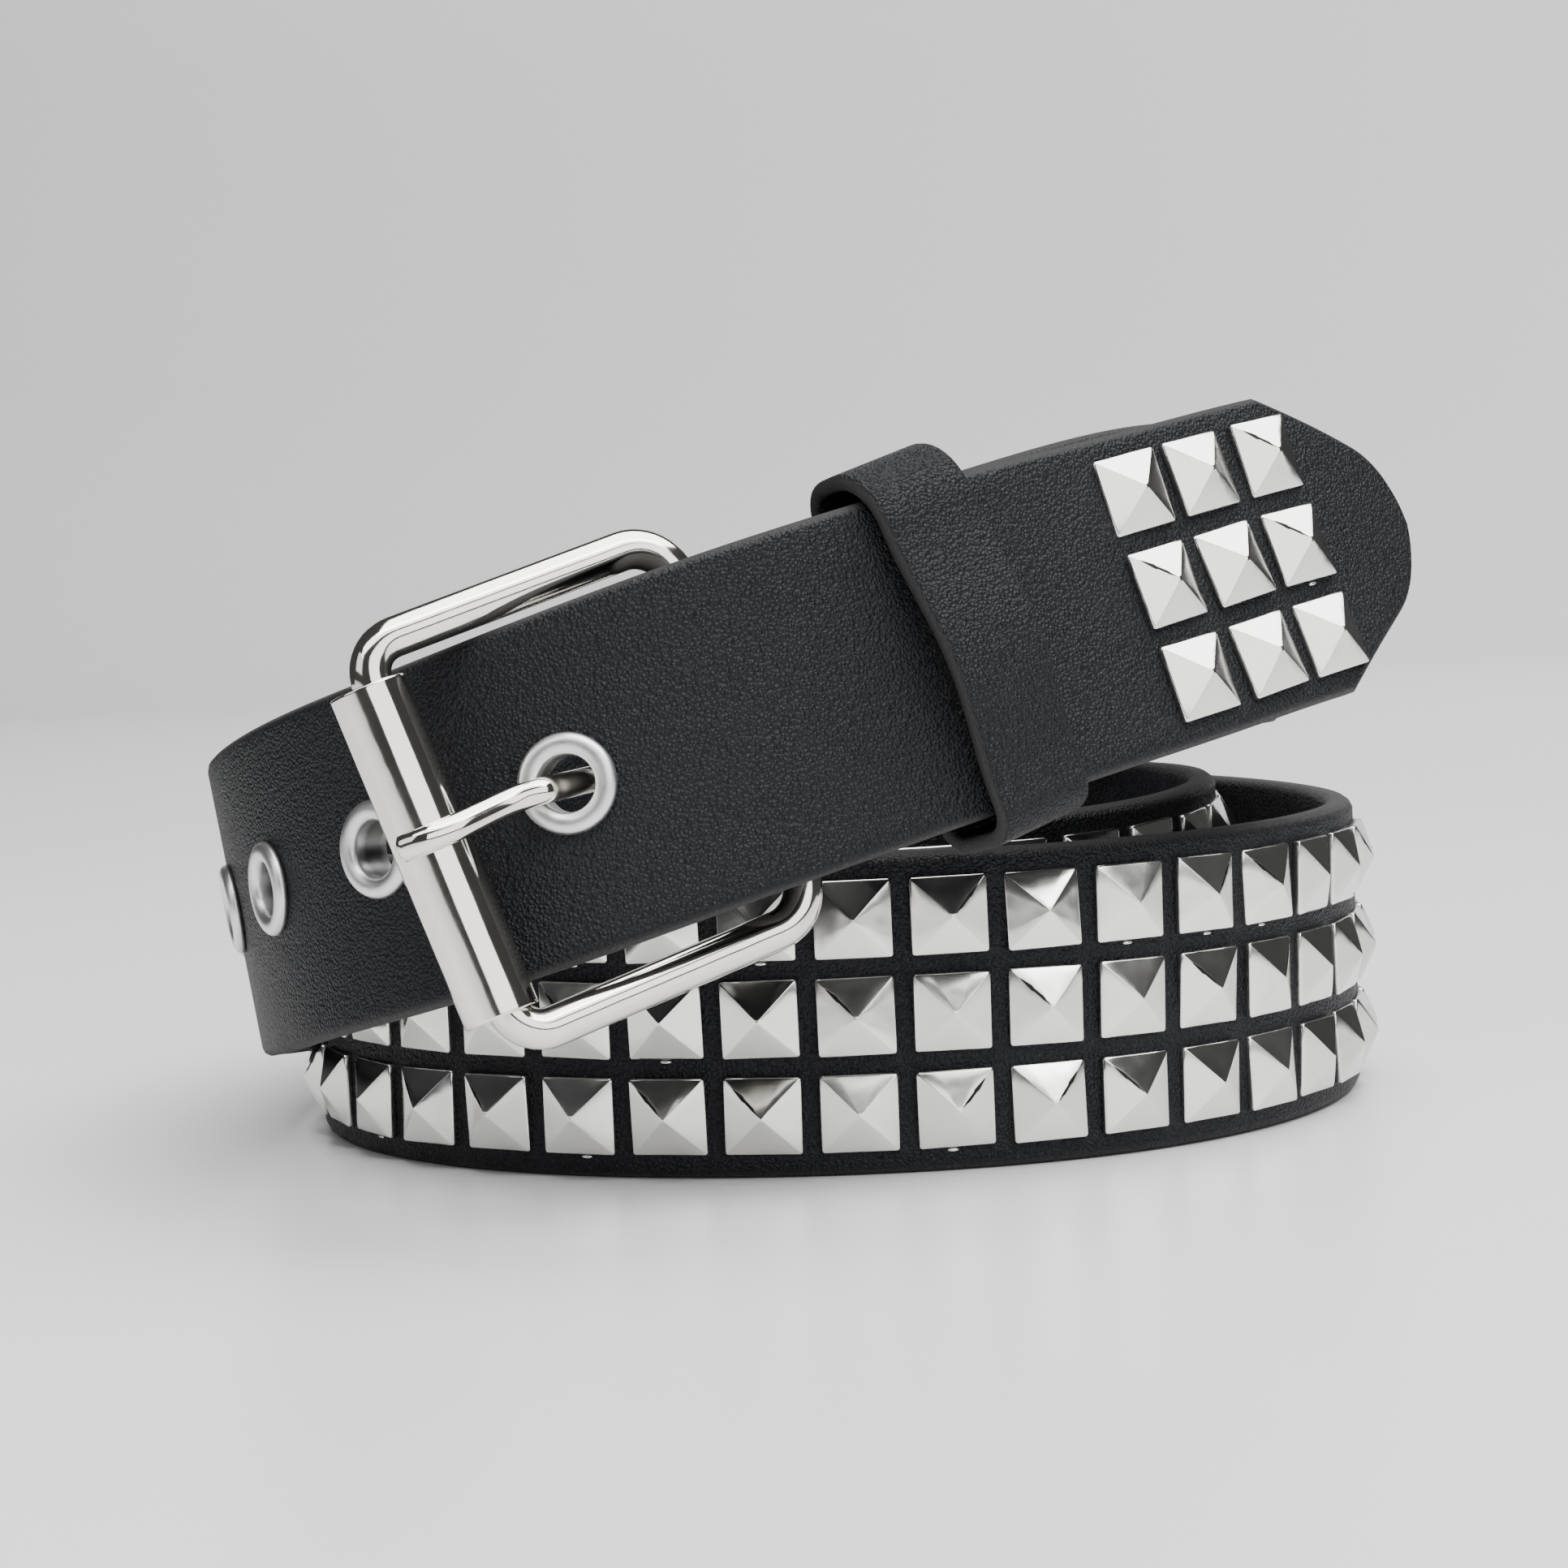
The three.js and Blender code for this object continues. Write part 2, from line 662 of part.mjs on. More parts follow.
// Keeper: a leather band round the tip end and the buckle end
function keeperGeometry() {
  const frame = frameAt(heelCrossing + keeperToHeel);
  frame.along.applyAxisAngle(frame.outward, keeperSkew);
  frame.across.applyAxisAngle(frame.outward, keeperSkew);
  const plies = frameAt(keeperToHeel).centre.sub(frame.centre);
  const front = strapThickness / 2 + keeperPlay;
  const back = plies.dot(frame.outward) - front;
  const side = plies.dot(frame.across);
  const low = Math.min(0, side) - strapWidth / 2 - keeperDrop;
  const high = Math.max(0, side) + strapWidth / 2 + keeperPlay + keeperBulge;
  const half = keeperWidth / 2;
  const loops = keeperPath(low, high, back, front).map(({ height, depth, angle }) => {
    const at = (thickness, forward) => pointOn(
      frame,
      height + thickness * Math.sin(angle),
      depth + thickness * Math.cos(angle),
      forward,
    );
    return [
      at(keeperThickness - keeperEdge, -half), at(keeperThickness, keeperEdge - half),
      at(keeperThickness, half - keeperEdge), at(keeperThickness - keeperEdge, half),
      at(0, half), at(0, -half),
    ];
  });
  return loftGeometry(loops, true);
}

const belt = new THREE.Group();

function addPiece(name, geometry, finish) {
  const piece = new THREE.Mesh(toGeometry(toSolid(geometry)), new THREE.MeshStandardMaterial(finish));
  piece.name = name;
  belt.add(piece);
}

addPiece('studded_strap', studdedStrap(), leather);
tipStudLengths.forEach((length, column) => {
  studHeights().forEach((height, row) => {
    addPiece(`tip_stud_${column + 1}_${row + 1}`, studOn(length, halfTipFacet, height, 0, gap), nickel);
  });
});
eyeletLengths.forEach((length, i) => {
  const ring = eyeletGeometry().applyMatrix4(standOn(seatFrame(length), 0, 0));
  addPiece(`eyelet_${eyeletCount - i}`, ring, satinSilver);
});
addPiece('buckle_frame', wireGeometry(), nickel);
addPiece('buckle_roller', rollerGeometry(), nickel);
addPiece('buckle_prong', prongGeometry(), nickel);
addPiece('keeper', keeperGeometry(), leather);

// The origin is the middle of the base
const box = new THREE.Box3().setFromObject(belt);
const middle = box.getCenter(new THREE.Vector3());
belt.position.set(-middle.x, -middle.y, -box.min.z);
belt.updateMatrixWorld(true);

export default belt;
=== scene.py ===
import math
import random

import bmesh
import bpy
import numpy as np
from bpy.props import FloatProperty, FloatVectorProperty, IntProperty, PointerProperty
from bpy.types import Operator, Panel, PropertyGroup
from mathutils import Matrix, Vector


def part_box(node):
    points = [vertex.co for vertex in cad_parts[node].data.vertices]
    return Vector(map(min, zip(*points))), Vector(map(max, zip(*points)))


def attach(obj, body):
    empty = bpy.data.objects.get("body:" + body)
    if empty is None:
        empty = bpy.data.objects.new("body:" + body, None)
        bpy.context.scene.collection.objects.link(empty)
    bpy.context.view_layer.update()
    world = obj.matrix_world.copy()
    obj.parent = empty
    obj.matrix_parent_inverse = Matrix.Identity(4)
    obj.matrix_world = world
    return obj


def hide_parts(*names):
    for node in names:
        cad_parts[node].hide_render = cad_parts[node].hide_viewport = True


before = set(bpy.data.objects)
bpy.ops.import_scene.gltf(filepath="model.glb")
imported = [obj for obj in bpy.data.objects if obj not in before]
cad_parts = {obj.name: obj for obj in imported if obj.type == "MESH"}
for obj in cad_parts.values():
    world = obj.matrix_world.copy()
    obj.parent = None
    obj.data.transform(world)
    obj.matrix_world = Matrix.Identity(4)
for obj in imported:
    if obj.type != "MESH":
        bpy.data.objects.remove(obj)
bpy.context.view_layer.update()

bl_info = {
    "name": "Studded Belt",
    "version": (1, 0, 0),
    "blender": (4, 5, 0),
    "location": "View3D > Sidebar > Belt",
    "description": "Makes a fastened studded belt that lies coiled on its edge",
    "category": "Add Mesh",
}

MM = 0.001

# Route of the strap, from the buckle to the tip, a row for each place that it passes.
# Columns: turn in degrees round the coil's axis, counted from the front; how many studded turns
# lie inside it; distance from the axis as a share of the core radius; height of the lower edge
# as a share of the strap's width; degrees that the upper edge leans outwards.
INNER_ROWS = (
    (60, 0, 1.24, 1.30, -8),
    (90, 0, 1.10, 1.29, -6),
    (120, 0, 0.95, 1.17, -3),
    (155, 0, 0.82, 0.90, 0),
    (200, 0, 0.75, 0.53, 2),
    (250, 0, 0.76, 0.24, 2),
    (300, 0, 0.84, 0.10, 0),
    (345, 0, 0.93, 0.06, 0),
    (395, 1, 0.87, 0.06, 0),
    (450, 1, 0.89, 0.095, 0),
    (500, 1, 0.94, 0.08, 0),
    (545, 1, 1.01, 0.03, 0),
    (590, 1, 1.10, 0, 0),
    (630, 2, 1.06, 0, 0),
    (655, 2, 1.10, 0, 0),
    (690, 2, 1.06, 0, 0),
    (720, 2, 1.03, 0, 0),
    (755, 2, 1.08, 0, 0),
    (790, 2, 1.11, 0, 0),
    (825, 2, 1.12, 0, 0),
    (855, 3, 1.00, 0.01, 0),
    (885, 3, 1.07, 0.02, 0),
    (915, 3, 1.15, 0.04, 1),
    (950, 3, 1.14, 0.10, 3),
    (980, 3, 1.10, 0.17, 7),
    (1005, 3, 1.16, 0.28, 8),
)
OUTER_ROWS = (
    (1025, 3, 1.31, 0.39, 7),
    (1040, 3, 1.46, 0.52, 1),
    (1055, 3, 1.54, 0.69, -4),
    (1075, 3, 1.43, 0.97, -7),
    (1095, 3, 1.20, 1.17, -12),
    (1115, 3, 1.09, 1.30, -16),
    (1135, 3, 1.14, 1.41, -16),
    (1158, 3, 1.35, 1.45, -14),
)
FULL_COIL = 1080
LAST_TIED_TURN = 35


def length(name, millimetres, words):
    return FloatProperty(name=name, description=words, default=millimetres * MM, unit="LENGTH", precision=4)


def angle(name, degrees, words):
    return FloatProperty(name=name, description=words, default=math.radians(degrees), subtype="ANGLE")


def share(name, value, words):
    return FloatProperty(name=name, description=words, default=value, min=0, max=1, subtype="FACTOR")


def colour(name, rgb, words):
    return FloatVectorProperty(
        name=name, description=words, default=rgb, size=3, min=0, max=1, subtype="COLOR"
    )


class BeltLeather(PropertyGroup):
    width: length("Width", 38, "Width of the strap")
    thickness: length("Thickness", 3.6, "Thickness of the strap")
    edge: length("Edge radius", 1.25, "Rounding of the strap's long edges")
    ply_gap: length("Ply gap", 0.9, "Space between the tip end and the buckle end where they lie together")
    flap: length("Flap", 15, "Length of the flap behind the heel bar")
    flap_gap: length("Flap gap", 0.9, "Space between the flap and the strap")
    flap_settle: length("Flap settle", 14, "Length over which the flap closes up to the strap")
    tip_overlap: length("Tip overlap", 102.9, "Strap between the heel bar and the end of the tip")
    tip: length("Tip", 20, "Length of the pointed tip")
    tip_slant: angle("Tip slant", 30, "Slant of the tip's two sides")
    core: length("Core radius", 50, "Radius that the coil's route is a share of")
    heel_turn: FloatProperty(name="Heel turn", description="Turn at the heel bar, in degrees", default=-6.1)
    pucker: length("Pucker", 0.14, "How far the leather stands up between the studs")
    colour: colour("Leather", (0.0055, 0.0060, 0.0074), "Black of the leather's face")
    edge_colour: colour("Cut edge", (0.030, 0.030, 0.0305), "Dark grey of the painted edges")


class BeltStuds(PropertyGroup):
    side: length("Side", 9.25, "Side of a stud's square base")
    pitch: length("Pitch", 11.13, "Distance between columns of studs round the coil")
    tip_pitch: length("Tip pitch", 11.4, "Distance between columns of studs near the tip")
    row_pitch: length("Row pitch", 11.48, "Distance between rows of studs")
    rim: length("Rim", 0.8, "Height of a stud's upright rim")
    height: length("Height", 3.1, "Height of a stud's point over the leather")
    corner: length("Corner", 0.35, "Rounding of the base's corners")
    start: length("Start", 129.9, "Strap between the heel bar and the first column")
    columns: IntProperty(name="Columns", description="Columns of studs round the coil", default=66)
    rows: IntProperty(name="Rows", description="Rows of studs across the strap", default=3)
    tip_columns: IntProperty(name="Tip columns", description="Columns of studs near the tip", default=3)
    tip_inset: length("Tip inset", 22.1, "Strap between the last column and the end of the tip")
    colour: colour("Nickel", (0.82, 0.812, 0.785), "Polished nickel of the studs")


class BeltEyelets(PropertyGroup):
    count: IntProperty(name="Count", description="Number of eyelets", default=7)
    pitch: length("Pitch", 25, "Distance between eyelets")
    to_heel: length("To heel", 19.9, "From the first eyelet to the heel bar")
    rim: length("Rim radius", 5.65, "Outer radius of the domed rim")
    bore: length("Bore radius", 3.2, "Radius of the open hole")
    barrel: length("Barrel radius", 4.0, "Outer radius of the barrel in the leather")
    dome: length("Dome", 1.1, "Height of the domed rim")
    back: length("Back rim", 0.6, "Thickness of the rim behind")
    seat: length("Seat", 0.35, "Space between the strap's face and the rim's underside")
    colour: colour("Satin nickel", (0.75, 0.75, 0.75), "Satin plating of the eyelets")


class BeltBuckle(PropertyGroup):
    wire: length("Wire radius", 2.3, "Radius of the frame's wire")
    span: length("Frame length", 37.3, "From the roller bar to the heel bar")
    opening: length("Opening", 41.4, "Inside width of the frame")
    shift: length("Frame shift", -0.2, "Sideways place of the frame on the strap")
    roller_corner: length("Roller corner", 4.2, "Bend radius at the roller bar")
    heel_corner: length("Heel corner", 5.2, "Bend radius at the heel bar")
    roller: length("Roller radius", 4.3, "Outer radius of the roller")
    roller_length: length("Roller length", 38.6, "Length of the roller")
    roller_wall: length("Roller wall", 0.5, "Sheet that the roller is rolled from")
    roller_slip: length("Roller slip", 0.85, "How far the roller hangs out beyond its bar's middle")
    roller_lift: length("Roller lift", 0.4, "How far the roller stands in front of its bar's middle")
    roller_play: length("Roller play", 1.7, "Space between the roller bar's seat and the tip end")
    heel_play: length("Heel play", 1.4, "Space between the heel bar and the fold")
    skew: angle("Skew", 3.5, "Turn of the frame in its own plane")
    twist_share: share("Twist share", 0.25, "How far the frame follows the strap at the roller")
    prong_width: length("Prong width", 3.0, "Width of the prong")
    prong_thickness: length("Prong thickness", 2.2, "Thickness of the prong")
    prong_rise: length("Prong rise", 0.7, "Sideways place of the prong's end on the roller")
    prong_slot: length("Prong slot", 5.2, "Width of the slot for the prong in the fold")
    colour: colour("Bright nickel", (0.82, 0.80, 0.735), "Warm polished nickel of the buckle")


class BeltKeeper(PropertyGroup):
    width: length("Width", 12.8, "Width of the keeper")
    thickness: length("Thickness", 1.9, "Thickness of the keeper")
    to_heel: length("To heel", 28.1, "From the heel bar to the keeper's middle")
    bulge: length("Bulge", 1.0, "How far the keeper stands over the strap's upper edge")
    arch: length("Arch", 2.2, "How far the keeper's front bows out")
    crown: length("Crown", 5.5, "Bend radius inside the keeper's upper front corner")
    drop: length("Drop", 1.1, "Space under the strap's lower edge")
    corner: length("Corner", 2.6, "Bend radius inside the keeper's corners")
    edge: length("Edge radius", 0.7, "Rounding of the keeper's edges")
    play: length("Play", 1.3, "Space between the keeper and the leather inside it")
    skew: angle("Skew", 5, "Turn of the keeper on the strap")


class BeltStage(PropertyGroup):
    camera_side: length("Camera side", -5.4, "Camera's place across, from the coil's axis")
    camera_back: length("Camera back", -470.1, "Camera's place in depth, from the coil's axis")
    camera_height: length("Camera height", 73.96, "Camera's height over the floor")
    camera_dip: angle("Camera dip", 3.873, "How far the camera looks down")
    camera_roll: angle("Camera roll", 2.315, "How far the camera's right side hangs down")
    lens: FloatProperty(name="Lens", description="Focal length on a 36 mm sensor, in mm", default=79.32)
    floor_radius: length("Floor radius", 1500, "Radius of the level floor")
    floor_colour: colour("Floor", (0.78, 0.78, 0.785), "Pale grey of the floor")


def settings(name):
    return getattr(bpy.context.scene, name)


def unit(vectors):
    return vectors / np.linalg.norm(vectors, axis=-1, keepdims=True)


def dots(a, b):
    return np.sum(a * b, axis=-1, keepdims=True)


def spin(vectors, axes, angles):
    """Vectors turned round axes that are square to them."""
    angles = np.asarray(angles)[..., None]
    return vectors * np.cos(angles) + np.cross(axes, vectors) * np.sin(angles)


class Spline:
    """Natural cubic spline through one column of the route."""

    def __init__(self, places, values):
        self.x = np.array(places, float)
        self.y = np.array(values, float)
        count = len(self.x)
        step = np.diff(self.x)
        slope = np.diff(self.y) / step
        matrix = np.eye(count)
        right = np.zeros(count)
        for i in range(1, count - 1):
            matrix[i, i - 1:i + 2] = step[i - 1], 2 * (step[i - 1] + step[i]), step[i]
            right[i] = 6 * (slope[i] - slope[i - 1])
        self.bend = np.linalg.solve(matrix, right)

    def __call__(self, place):
        i = np.clip(np.searchsorted(self.x, place) - 1, 0, len(self.x) - 2)
        span = self.x[i + 1] - self.x[i]
        a = (self.x[i + 1] - place) / span
        b = (place - self.x[i]) / span
        curve = ((a**3 - a) * self.bend[i] + (b**3 - b) * self.bend[i + 1]) * span**2 / 6
        return a * self.y[i] + b * self.y[i + 1] + curve


class Frame:
    """A place on the strap, or many at once: centre, along, across and outward."""

    def __init__(self, centre, along, across):
        self.centre = centre
        self.along = along
        self.across = across
        self.outward = np.cross(along, across)

    def point(self, height=0, depth=0, forward=0):
        return self.centre + self.across * height + self.outward * depth + self.along * forward

    def facing_back(self, depth):
        return Frame(self.point(depth=-depth), -self.along, self.across)

    def turned(self, angle):
        """The same place, turned in its own plane."""
        along = spin(self.along, self.outward, angle)
        return Frame(self.centre, along, spin(self.across, self.outward, angle))


class Route:
    """The strap's middle line, with its directions at any length from the heel bar."""

    turn_step = 0.5

    def __init__(self):
        leather = settings("belt_leather")
        studs = settings("belt_studs")
        eyelets = settings("belt_eyelets")
        turn_pitch = leather.thickness + studs.height
        ply_pitch = leather.thickness + leather.ply_gap
        tied = [row for row in OUTER_ROWS if row[0] - FULL_COIL <= LAST_TIED_TURN]
        rows = [(row, FULL_COIL, ply_pitch) for row in tied]
        rows += [(row, 0, 0) for row in INNER_ROWS + OUTER_ROWS]
        turns = [row[0] - shift for row, shift, inwards in rows]
        reach = [row[2] * leather.core + row[1] * turn_pitch - inwards for row, shift, inwards in rows]
        height = [leather.width * (0.5 + row[3]) for row, shift, inwards in rows]
        lean = [math.radians(row[4]) for row, shift, inwards in rows]
        self.reach = Spline(turns, reach)
        self.height = Spline(turns, height)
        self.lean = Spline(turns, lean)
        self.turns = np.arange(leather.heel_turn, turns[-1], self.turn_step)
        self.shift = np.zeros(3)
        steps = np.linalg.norm(np.diff(self.points(self.turns), axis=0), axis=1)
        self.lengths = np.concatenate([[0], np.cumsum(steps)])
        self.heel = float(np.interp(leather.heel_turn + FULL_COIL, self.turns, self.lengths))
        self.end = self.heel + leather.tip_overlap
        self.stud_places = studs.start + studs.pitch * np.arange(studs.columns)
        self.eyelet_places = self.heel - eyelets.to_heel - eyelets.pitch * np.arange(eyelets.count)
        back = studs.tip_columns - 1 - np.arange(studs.tip_columns)
        self.tip_places = self.end - studs.tip_inset - studs.tip_pitch * back
        self.shift = self.step_to_frame(studs, leather)

    def step_to_frame(self, studs, leather):
        """From the coil's axis to the frame's origin, read from the place of one tip stud."""
        facet = self.facet(self.tip_places[0], studs.tip_pitch / 2)
        clearance = 0.3 * MM
        foot = leather.thickness / 2 + clearance
        half = studs.side / 2
        top_row = studs.row_pitch * (studs.rows - 1) / 2
        corners = [
            facet.point(top_row + up * half, foot + lift, forth * half)
            for up in (-1, 1) for forth in (-1, 1) for lift in (0, studs.rim)
        ]
        corners.append(facet.point(top_row, foot + studs.height))
        own = (np.min(corners, axis=0) + np.max(corners, axis=0)) / 2
        low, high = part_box("tip_stud_1_1")
        return (np.array(low) + np.array(high)) / 2 - own

    def points(self, turns):
        bearing = np.radians(np.asarray(turns) - 90)
        reach = self.reach(turns)
        around = [reach * np.cos(bearing), reach * np.sin(bearing), self.height(turns)]
        return np.stack(around, axis=-1) + self.shift

    def at(self, lengths):
        turns = np.interp(lengths, self.lengths, self.turns)
        probe = 0.05
        along = unit(self.points(turns + probe) - self.points(turns - probe))
        up = np.zeros_like(along)
        up[..., 2] = 1
        across = unit(up - along * dots(up, along))
        return Frame(self.points(turns), along, spin(across, along, self.lean(turns)))

    def facet(self, middle, half):
        """Flat seat between two lengths of the strap."""
        a = self.at(middle - half)
        b = self.at(middle + half)
        along = unit(b.centre - a.centre)
        across = a.across + b.across
        across = unit(across - along * dots(across, along))
        return Frame((a.centre + b.centre) / 2, along, across)


def new_piece(name, mesh, slot, *nodes):
    """A piece of the belt, which stands for the named nodes; its slot is not used."""
    piece = bpy.data.objects.new(name, mesh)
    bpy.context.scene.collection.objects.link(piece)
    for polygon in mesh.polygons:
        polygon.use_smooth = True
    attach(piece, "root")
    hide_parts(*nodes)
    return piece


def mesh_from(name, points, faces, marks=None):
    """A mesh with one number at each point for each of its marks."""
    mesh = bpy.data.meshes.new(name)
    mesh.from_pydata([tuple(point) for point in points], [], faces)
    for mark, values in (marks or {}).items():
        layer = mesh.attributes.new(mark, "FLOAT", "POINT")
        layer.data.foreach_set("value", np.asarray(values, np.float32))
    mesh.update()
    return mesh


def loft_faces(loops, sides, is_ring=False, start=0):
    """Faces between loops of points, closed at both ends unless the loops make a ring."""
    faces = []
    for i in range(loops if is_ring else loops - 1):
        here = start + i * sides
        there = start + (i + 1) % loops * sides
        for j in range(sides):
            k = (j + 1) % sides
            faces.append((here + j, here + k, there + k, there + j))
    if not is_ring:
        last = start + (loops - 1) * sides
        faces.append(tuple(range(start + sides - 1, start - 1, -1)))
        faces.append(tuple(range(last, last + sides)))
    return faces


def point_outwards(mesh):
    work = bmesh.new()
    work.from_mesh(mesh)
    bmesh.ops.recalc_face_normals(work, faces=work.faces)
    work.to_mesh(mesh)
    work.free()
    mesh.update()


def rounded_section(half_width, half_depth, radius, across_count, corner_count=5):
    """Rounded rectangle as rows of height, depth and how far round an edge each point lies."""
    radius = min(radius, half_width * 0.98, half_depth * 0.98)
    flat = half_width - radius
    rows = []
    for side in (1, -1):
        for height in np.linspace(flat, -flat, across_count):
            rows.append((side * height, side * half_depth, 0.0))
        for step in range(1, corner_count):
            turn = math.pi * step / corner_count
            edge_height = -flat - radius * math.sin(turn)
            edge_depth = (half_depth - radius) * (1 if turn < math.pi / 2 else -1) + radius * math.cos(turn)
            rows.append((side * edge_height, side * edge_depth, math.sin(turn)))
    return rows


# Strap


def half_width(leather, left):
    """Half width of the strap at a distance from the end of its tip."""
    slant = math.tan(leather.tip_slant)
    nose = (leather.width / 2 - leather.tip * slant) / (1 / math.cos(leather.tip_slant) - slant)
    nose_length = nose * (1 - math.sin(leather.tip_slant))
    if left >= leather.tip:
        return leather.width / 2
    if left >= nose_length:
        return leather.width / 2 - (leather.tip - left) * slant
    return math.sqrt(max(0, nose**2 - (nose - left) ** 2))


def fold_frames(route):
    """Frames of the flap behind the strap and of the half turn round the heel bar."""
    leather = settings("belt_leather")
    buckle = settings("belt_buckle")
    radius = buckle.wire + buckle.heel_play + leather.thickness / 2
    heel = route.at(0.0)
    bar = heel.point(depth=-radius)
    frames = []
    for place in np.linspace(leather.flap, 0, 12)[:-1]:
        opened = max(0, 1 - place / leather.flap_settle)
        settled = leather.thickness + leather.flap_gap
        depth = settled + (2 * radius - settled) * opened**2 * (3 - 2 * opened)
        frames.append(route.at(place).facing_back(depth))
    for turn in np.linspace(-math.pi, 0, 17)[:-1]:
        along = spin(heel.along, heel.across, turn)
        outward = spin(heel.outward, heel.across, turn)
        frames.append(Frame(bar + outward * radius, along, heel.across))
    return frames, bar, radius


def pucker(route, studs, place, height):
    """Share by which the leather stands up: full between four studs, none beneath one."""
    column = (place - route.stud_places[0]) / studs.pitch
    if not -0.5 < column < studs.columns - 0.5:
        return 0.0
    row = height / studs.row_pitch + (studs.rows - 1) / 2
    ridge = 0.5 - 0.5 * math.cos(2 * math.pi * column)
    valley = 0.5 - 0.5 * math.cos(2 * math.pi * row)
    inside = -0.6 < row < studs.rows - 0.4
    return max(ridge, valley) if inside else ridge * 0.4


def strap_mesh(route):
    """The whole strap from the end of its flap to the point of its tip, without holes."""
    leather = settings("belt_leather")
    studs = settings("belt_studs")
    step = 1.45 * MM
    last_step = 0.012 * MM
    plain = route.end - leather.tip
    places = list(np.linspace(0, plain, round(plain / step)))
    nose = leather.tip * (1 - np.sin(np.linspace(0, math.pi / 2, 26)[1:-1]))
    places += [route.end - left for left in nose] + [route.end - last_step]
    fold, _, radius = fold_frames(route)
    points, edges = [], []
    half_depth = leather.thickness / 2
    for i, frame_here in enumerate(fold + [route.at(place) for place in places]):
        place = places[i - len(fold)] if i >= len(fold) else -radius * 0.2 * (len(fold) - i)
        half = half_width(leather, route.end - place)
        for height, depth, edge in rounded_section(half, half_depth, leather.edge, 25):
            on_face = depth > half_depth * 0.99 and i >= len(fold)
            lift = leather.pucker * pucker(route, studs, place, height) if on_face else 0
            points.append(frame_here.point(height, depth + lift))
            edges.append(edge)
    sections = len(fold) + len(places)
    faces = loft_faces(sections, len(points) // sections)
    mesh = mesh_from("strap_leather", points, faces, {"edge": edges})
    point_outwards(mesh)
    return mesh


def hole_cutters(route):
    """One mesh with the seven eyelet holes and the prong's slot."""
    leather = settings("belt_leather")
    eyelets = settings("belt_eyelets")
    buckle = settings("belt_buckle")
    work = bmesh.new()
    hole_radius = eyelets.barrel * 1.02
    for place in route.eyelet_places:
        seat = matrix_on(route.facet(place, eyelets.pitch / 4))
        hole = bmesh.ops.create_cone(
            work, cap_ends=True, segments=28, radius1=hole_radius, radius2=hole_radius,
            depth=leather.thickness * 2,
        )
        bmesh.ops.transform(work, matrix=seat, verts=hole["verts"])
    _, bar, radius = fold_frames(route)
    heel = route.at(0.0)
    reach = radius + leather.thickness / 2 + leather.ply_gap / 3
    slot = bmesh.ops.create_cube(work, size=1)
    size = Matrix.Diagonal((2 * (radius + leather.thickness), buckle.prong_slot, 2 * reach, 1))
    at_bar = Frame(bar, heel.along, heel.across)
    bmesh.ops.transform(work, matrix=matrix_on(at_bar) @ size, verts=slot["verts"])
    mesh = bpy.data.meshes.new("hole_cutters")
    work.to_mesh(mesh)
    work.free()
    return mesh


def matrix_on(place):
    """Matrix that lays X along the strap, Y across it and Z outwards."""
    rotation = np.stack([place.along, place.across, place.outward], axis=1)
    matrix = Matrix([list(row) for row in rotation]).to_4x4()
    matrix.translation = Vector(place.centre)
    return matrix


def cut(piece, cutters):
    """Takes the cutters out of a piece for good."""
    tool = bpy.data.objects.new("cutters", cutters)
    bpy.context.scene.collection.objects.link(tool)
    cutting = piece.modifiers.new("holes", "BOOLEAN")
    cutting.operation = "DIFFERENCE"
    cutting.solver = "EXACT"
    cutting.object = tool
    graph = bpy.context.evaluated_depsgraph_get()
    result = bpy.data.meshes.new_from_object(piece.evaluated_get(graph))
    piece.modifiers.clear()
    bpy.data.objects.remove(tool)
    if not result.polygons:
        raise RuntimeError(f"{piece.name}: the cut left nothing")
    piece.data = result


# Studs


def stud_rings(studs):
    """Rows of half side, corner radius, height and rise mark, from below the leather to the point."""
    half = studs.side / 2
    top = studs.height - studs.rim
    rows = [
        (half, studs.corner, -0.6 * MM, 0.0),
        (half, studs.corner, studs.rim - 0.16 * MM, 0.05),
        (half - 0.04 * MM, studs.corner, studs.rim - 0.05 * MM, 0.1),
        (half - 0.14 * MM, studs.corner * 0.7, studs.rim + 0.03 * MM, 0.15),
        (half - 0.26 * MM, studs.corner * 0.5, studs.rim + 0.10 * MM, 0.2),
    ]
    for left in (0.8, 0.5, 0.2, 0.09, 0.03):
        ridge = studs.corner * 0.3 * left**0.5
        swell = 0.03 * MM * math.sin(math.pi * left)
        rows.append((half * left, ridge, studs.height - top * left + swell, 1 - left))
    return rows


# Points of a stud's ring on each quarter of its square: first along the side, then round the bend
SIDE_POINTS = 3
BEND_POINTS = 3


def square_ring(half, corner):
    """Points round a square with rounded corners, evenly spread along each side."""
    corner = min(corner, half * 0.9)
    flat = half - corner
    ring = []
    for quarter in range(4):
        turn = quarter * math.pi / 2
        cos_turn, sin_turn = round(math.cos(turn)), round(math.sin(turn))
        side = [(half, y) for y in (-flat * 0.5, 0, flat * 0.5)]
        bend = [
            (flat + corner * math.cos(a), flat + corner * math.sin(a))
            for a in (0.05, math.pi / 4, math.pi / 2 - 0.05)
        ]
        ring += [(x * cos_turn - y * sin_turn, x * sin_turn + y * cos_turn) for x, y in side + bend]
    return ring


# Dark slit along one upper ridge of a stud, where its pressed sheet meets. By how far from the
# point a ring lies, as a share of the half side: the slit's mark, wider above 0.86.
SLIT_MARKS = {0.8: 0.86, 0.5: 1.15, 0.2: 1.25, 0.09: 1.1}

# Quarter of the square whose ridge the slit runs down, or none. The first two are the upper ones.
SLIT_QUARTERS = (None, None, 0, 1)

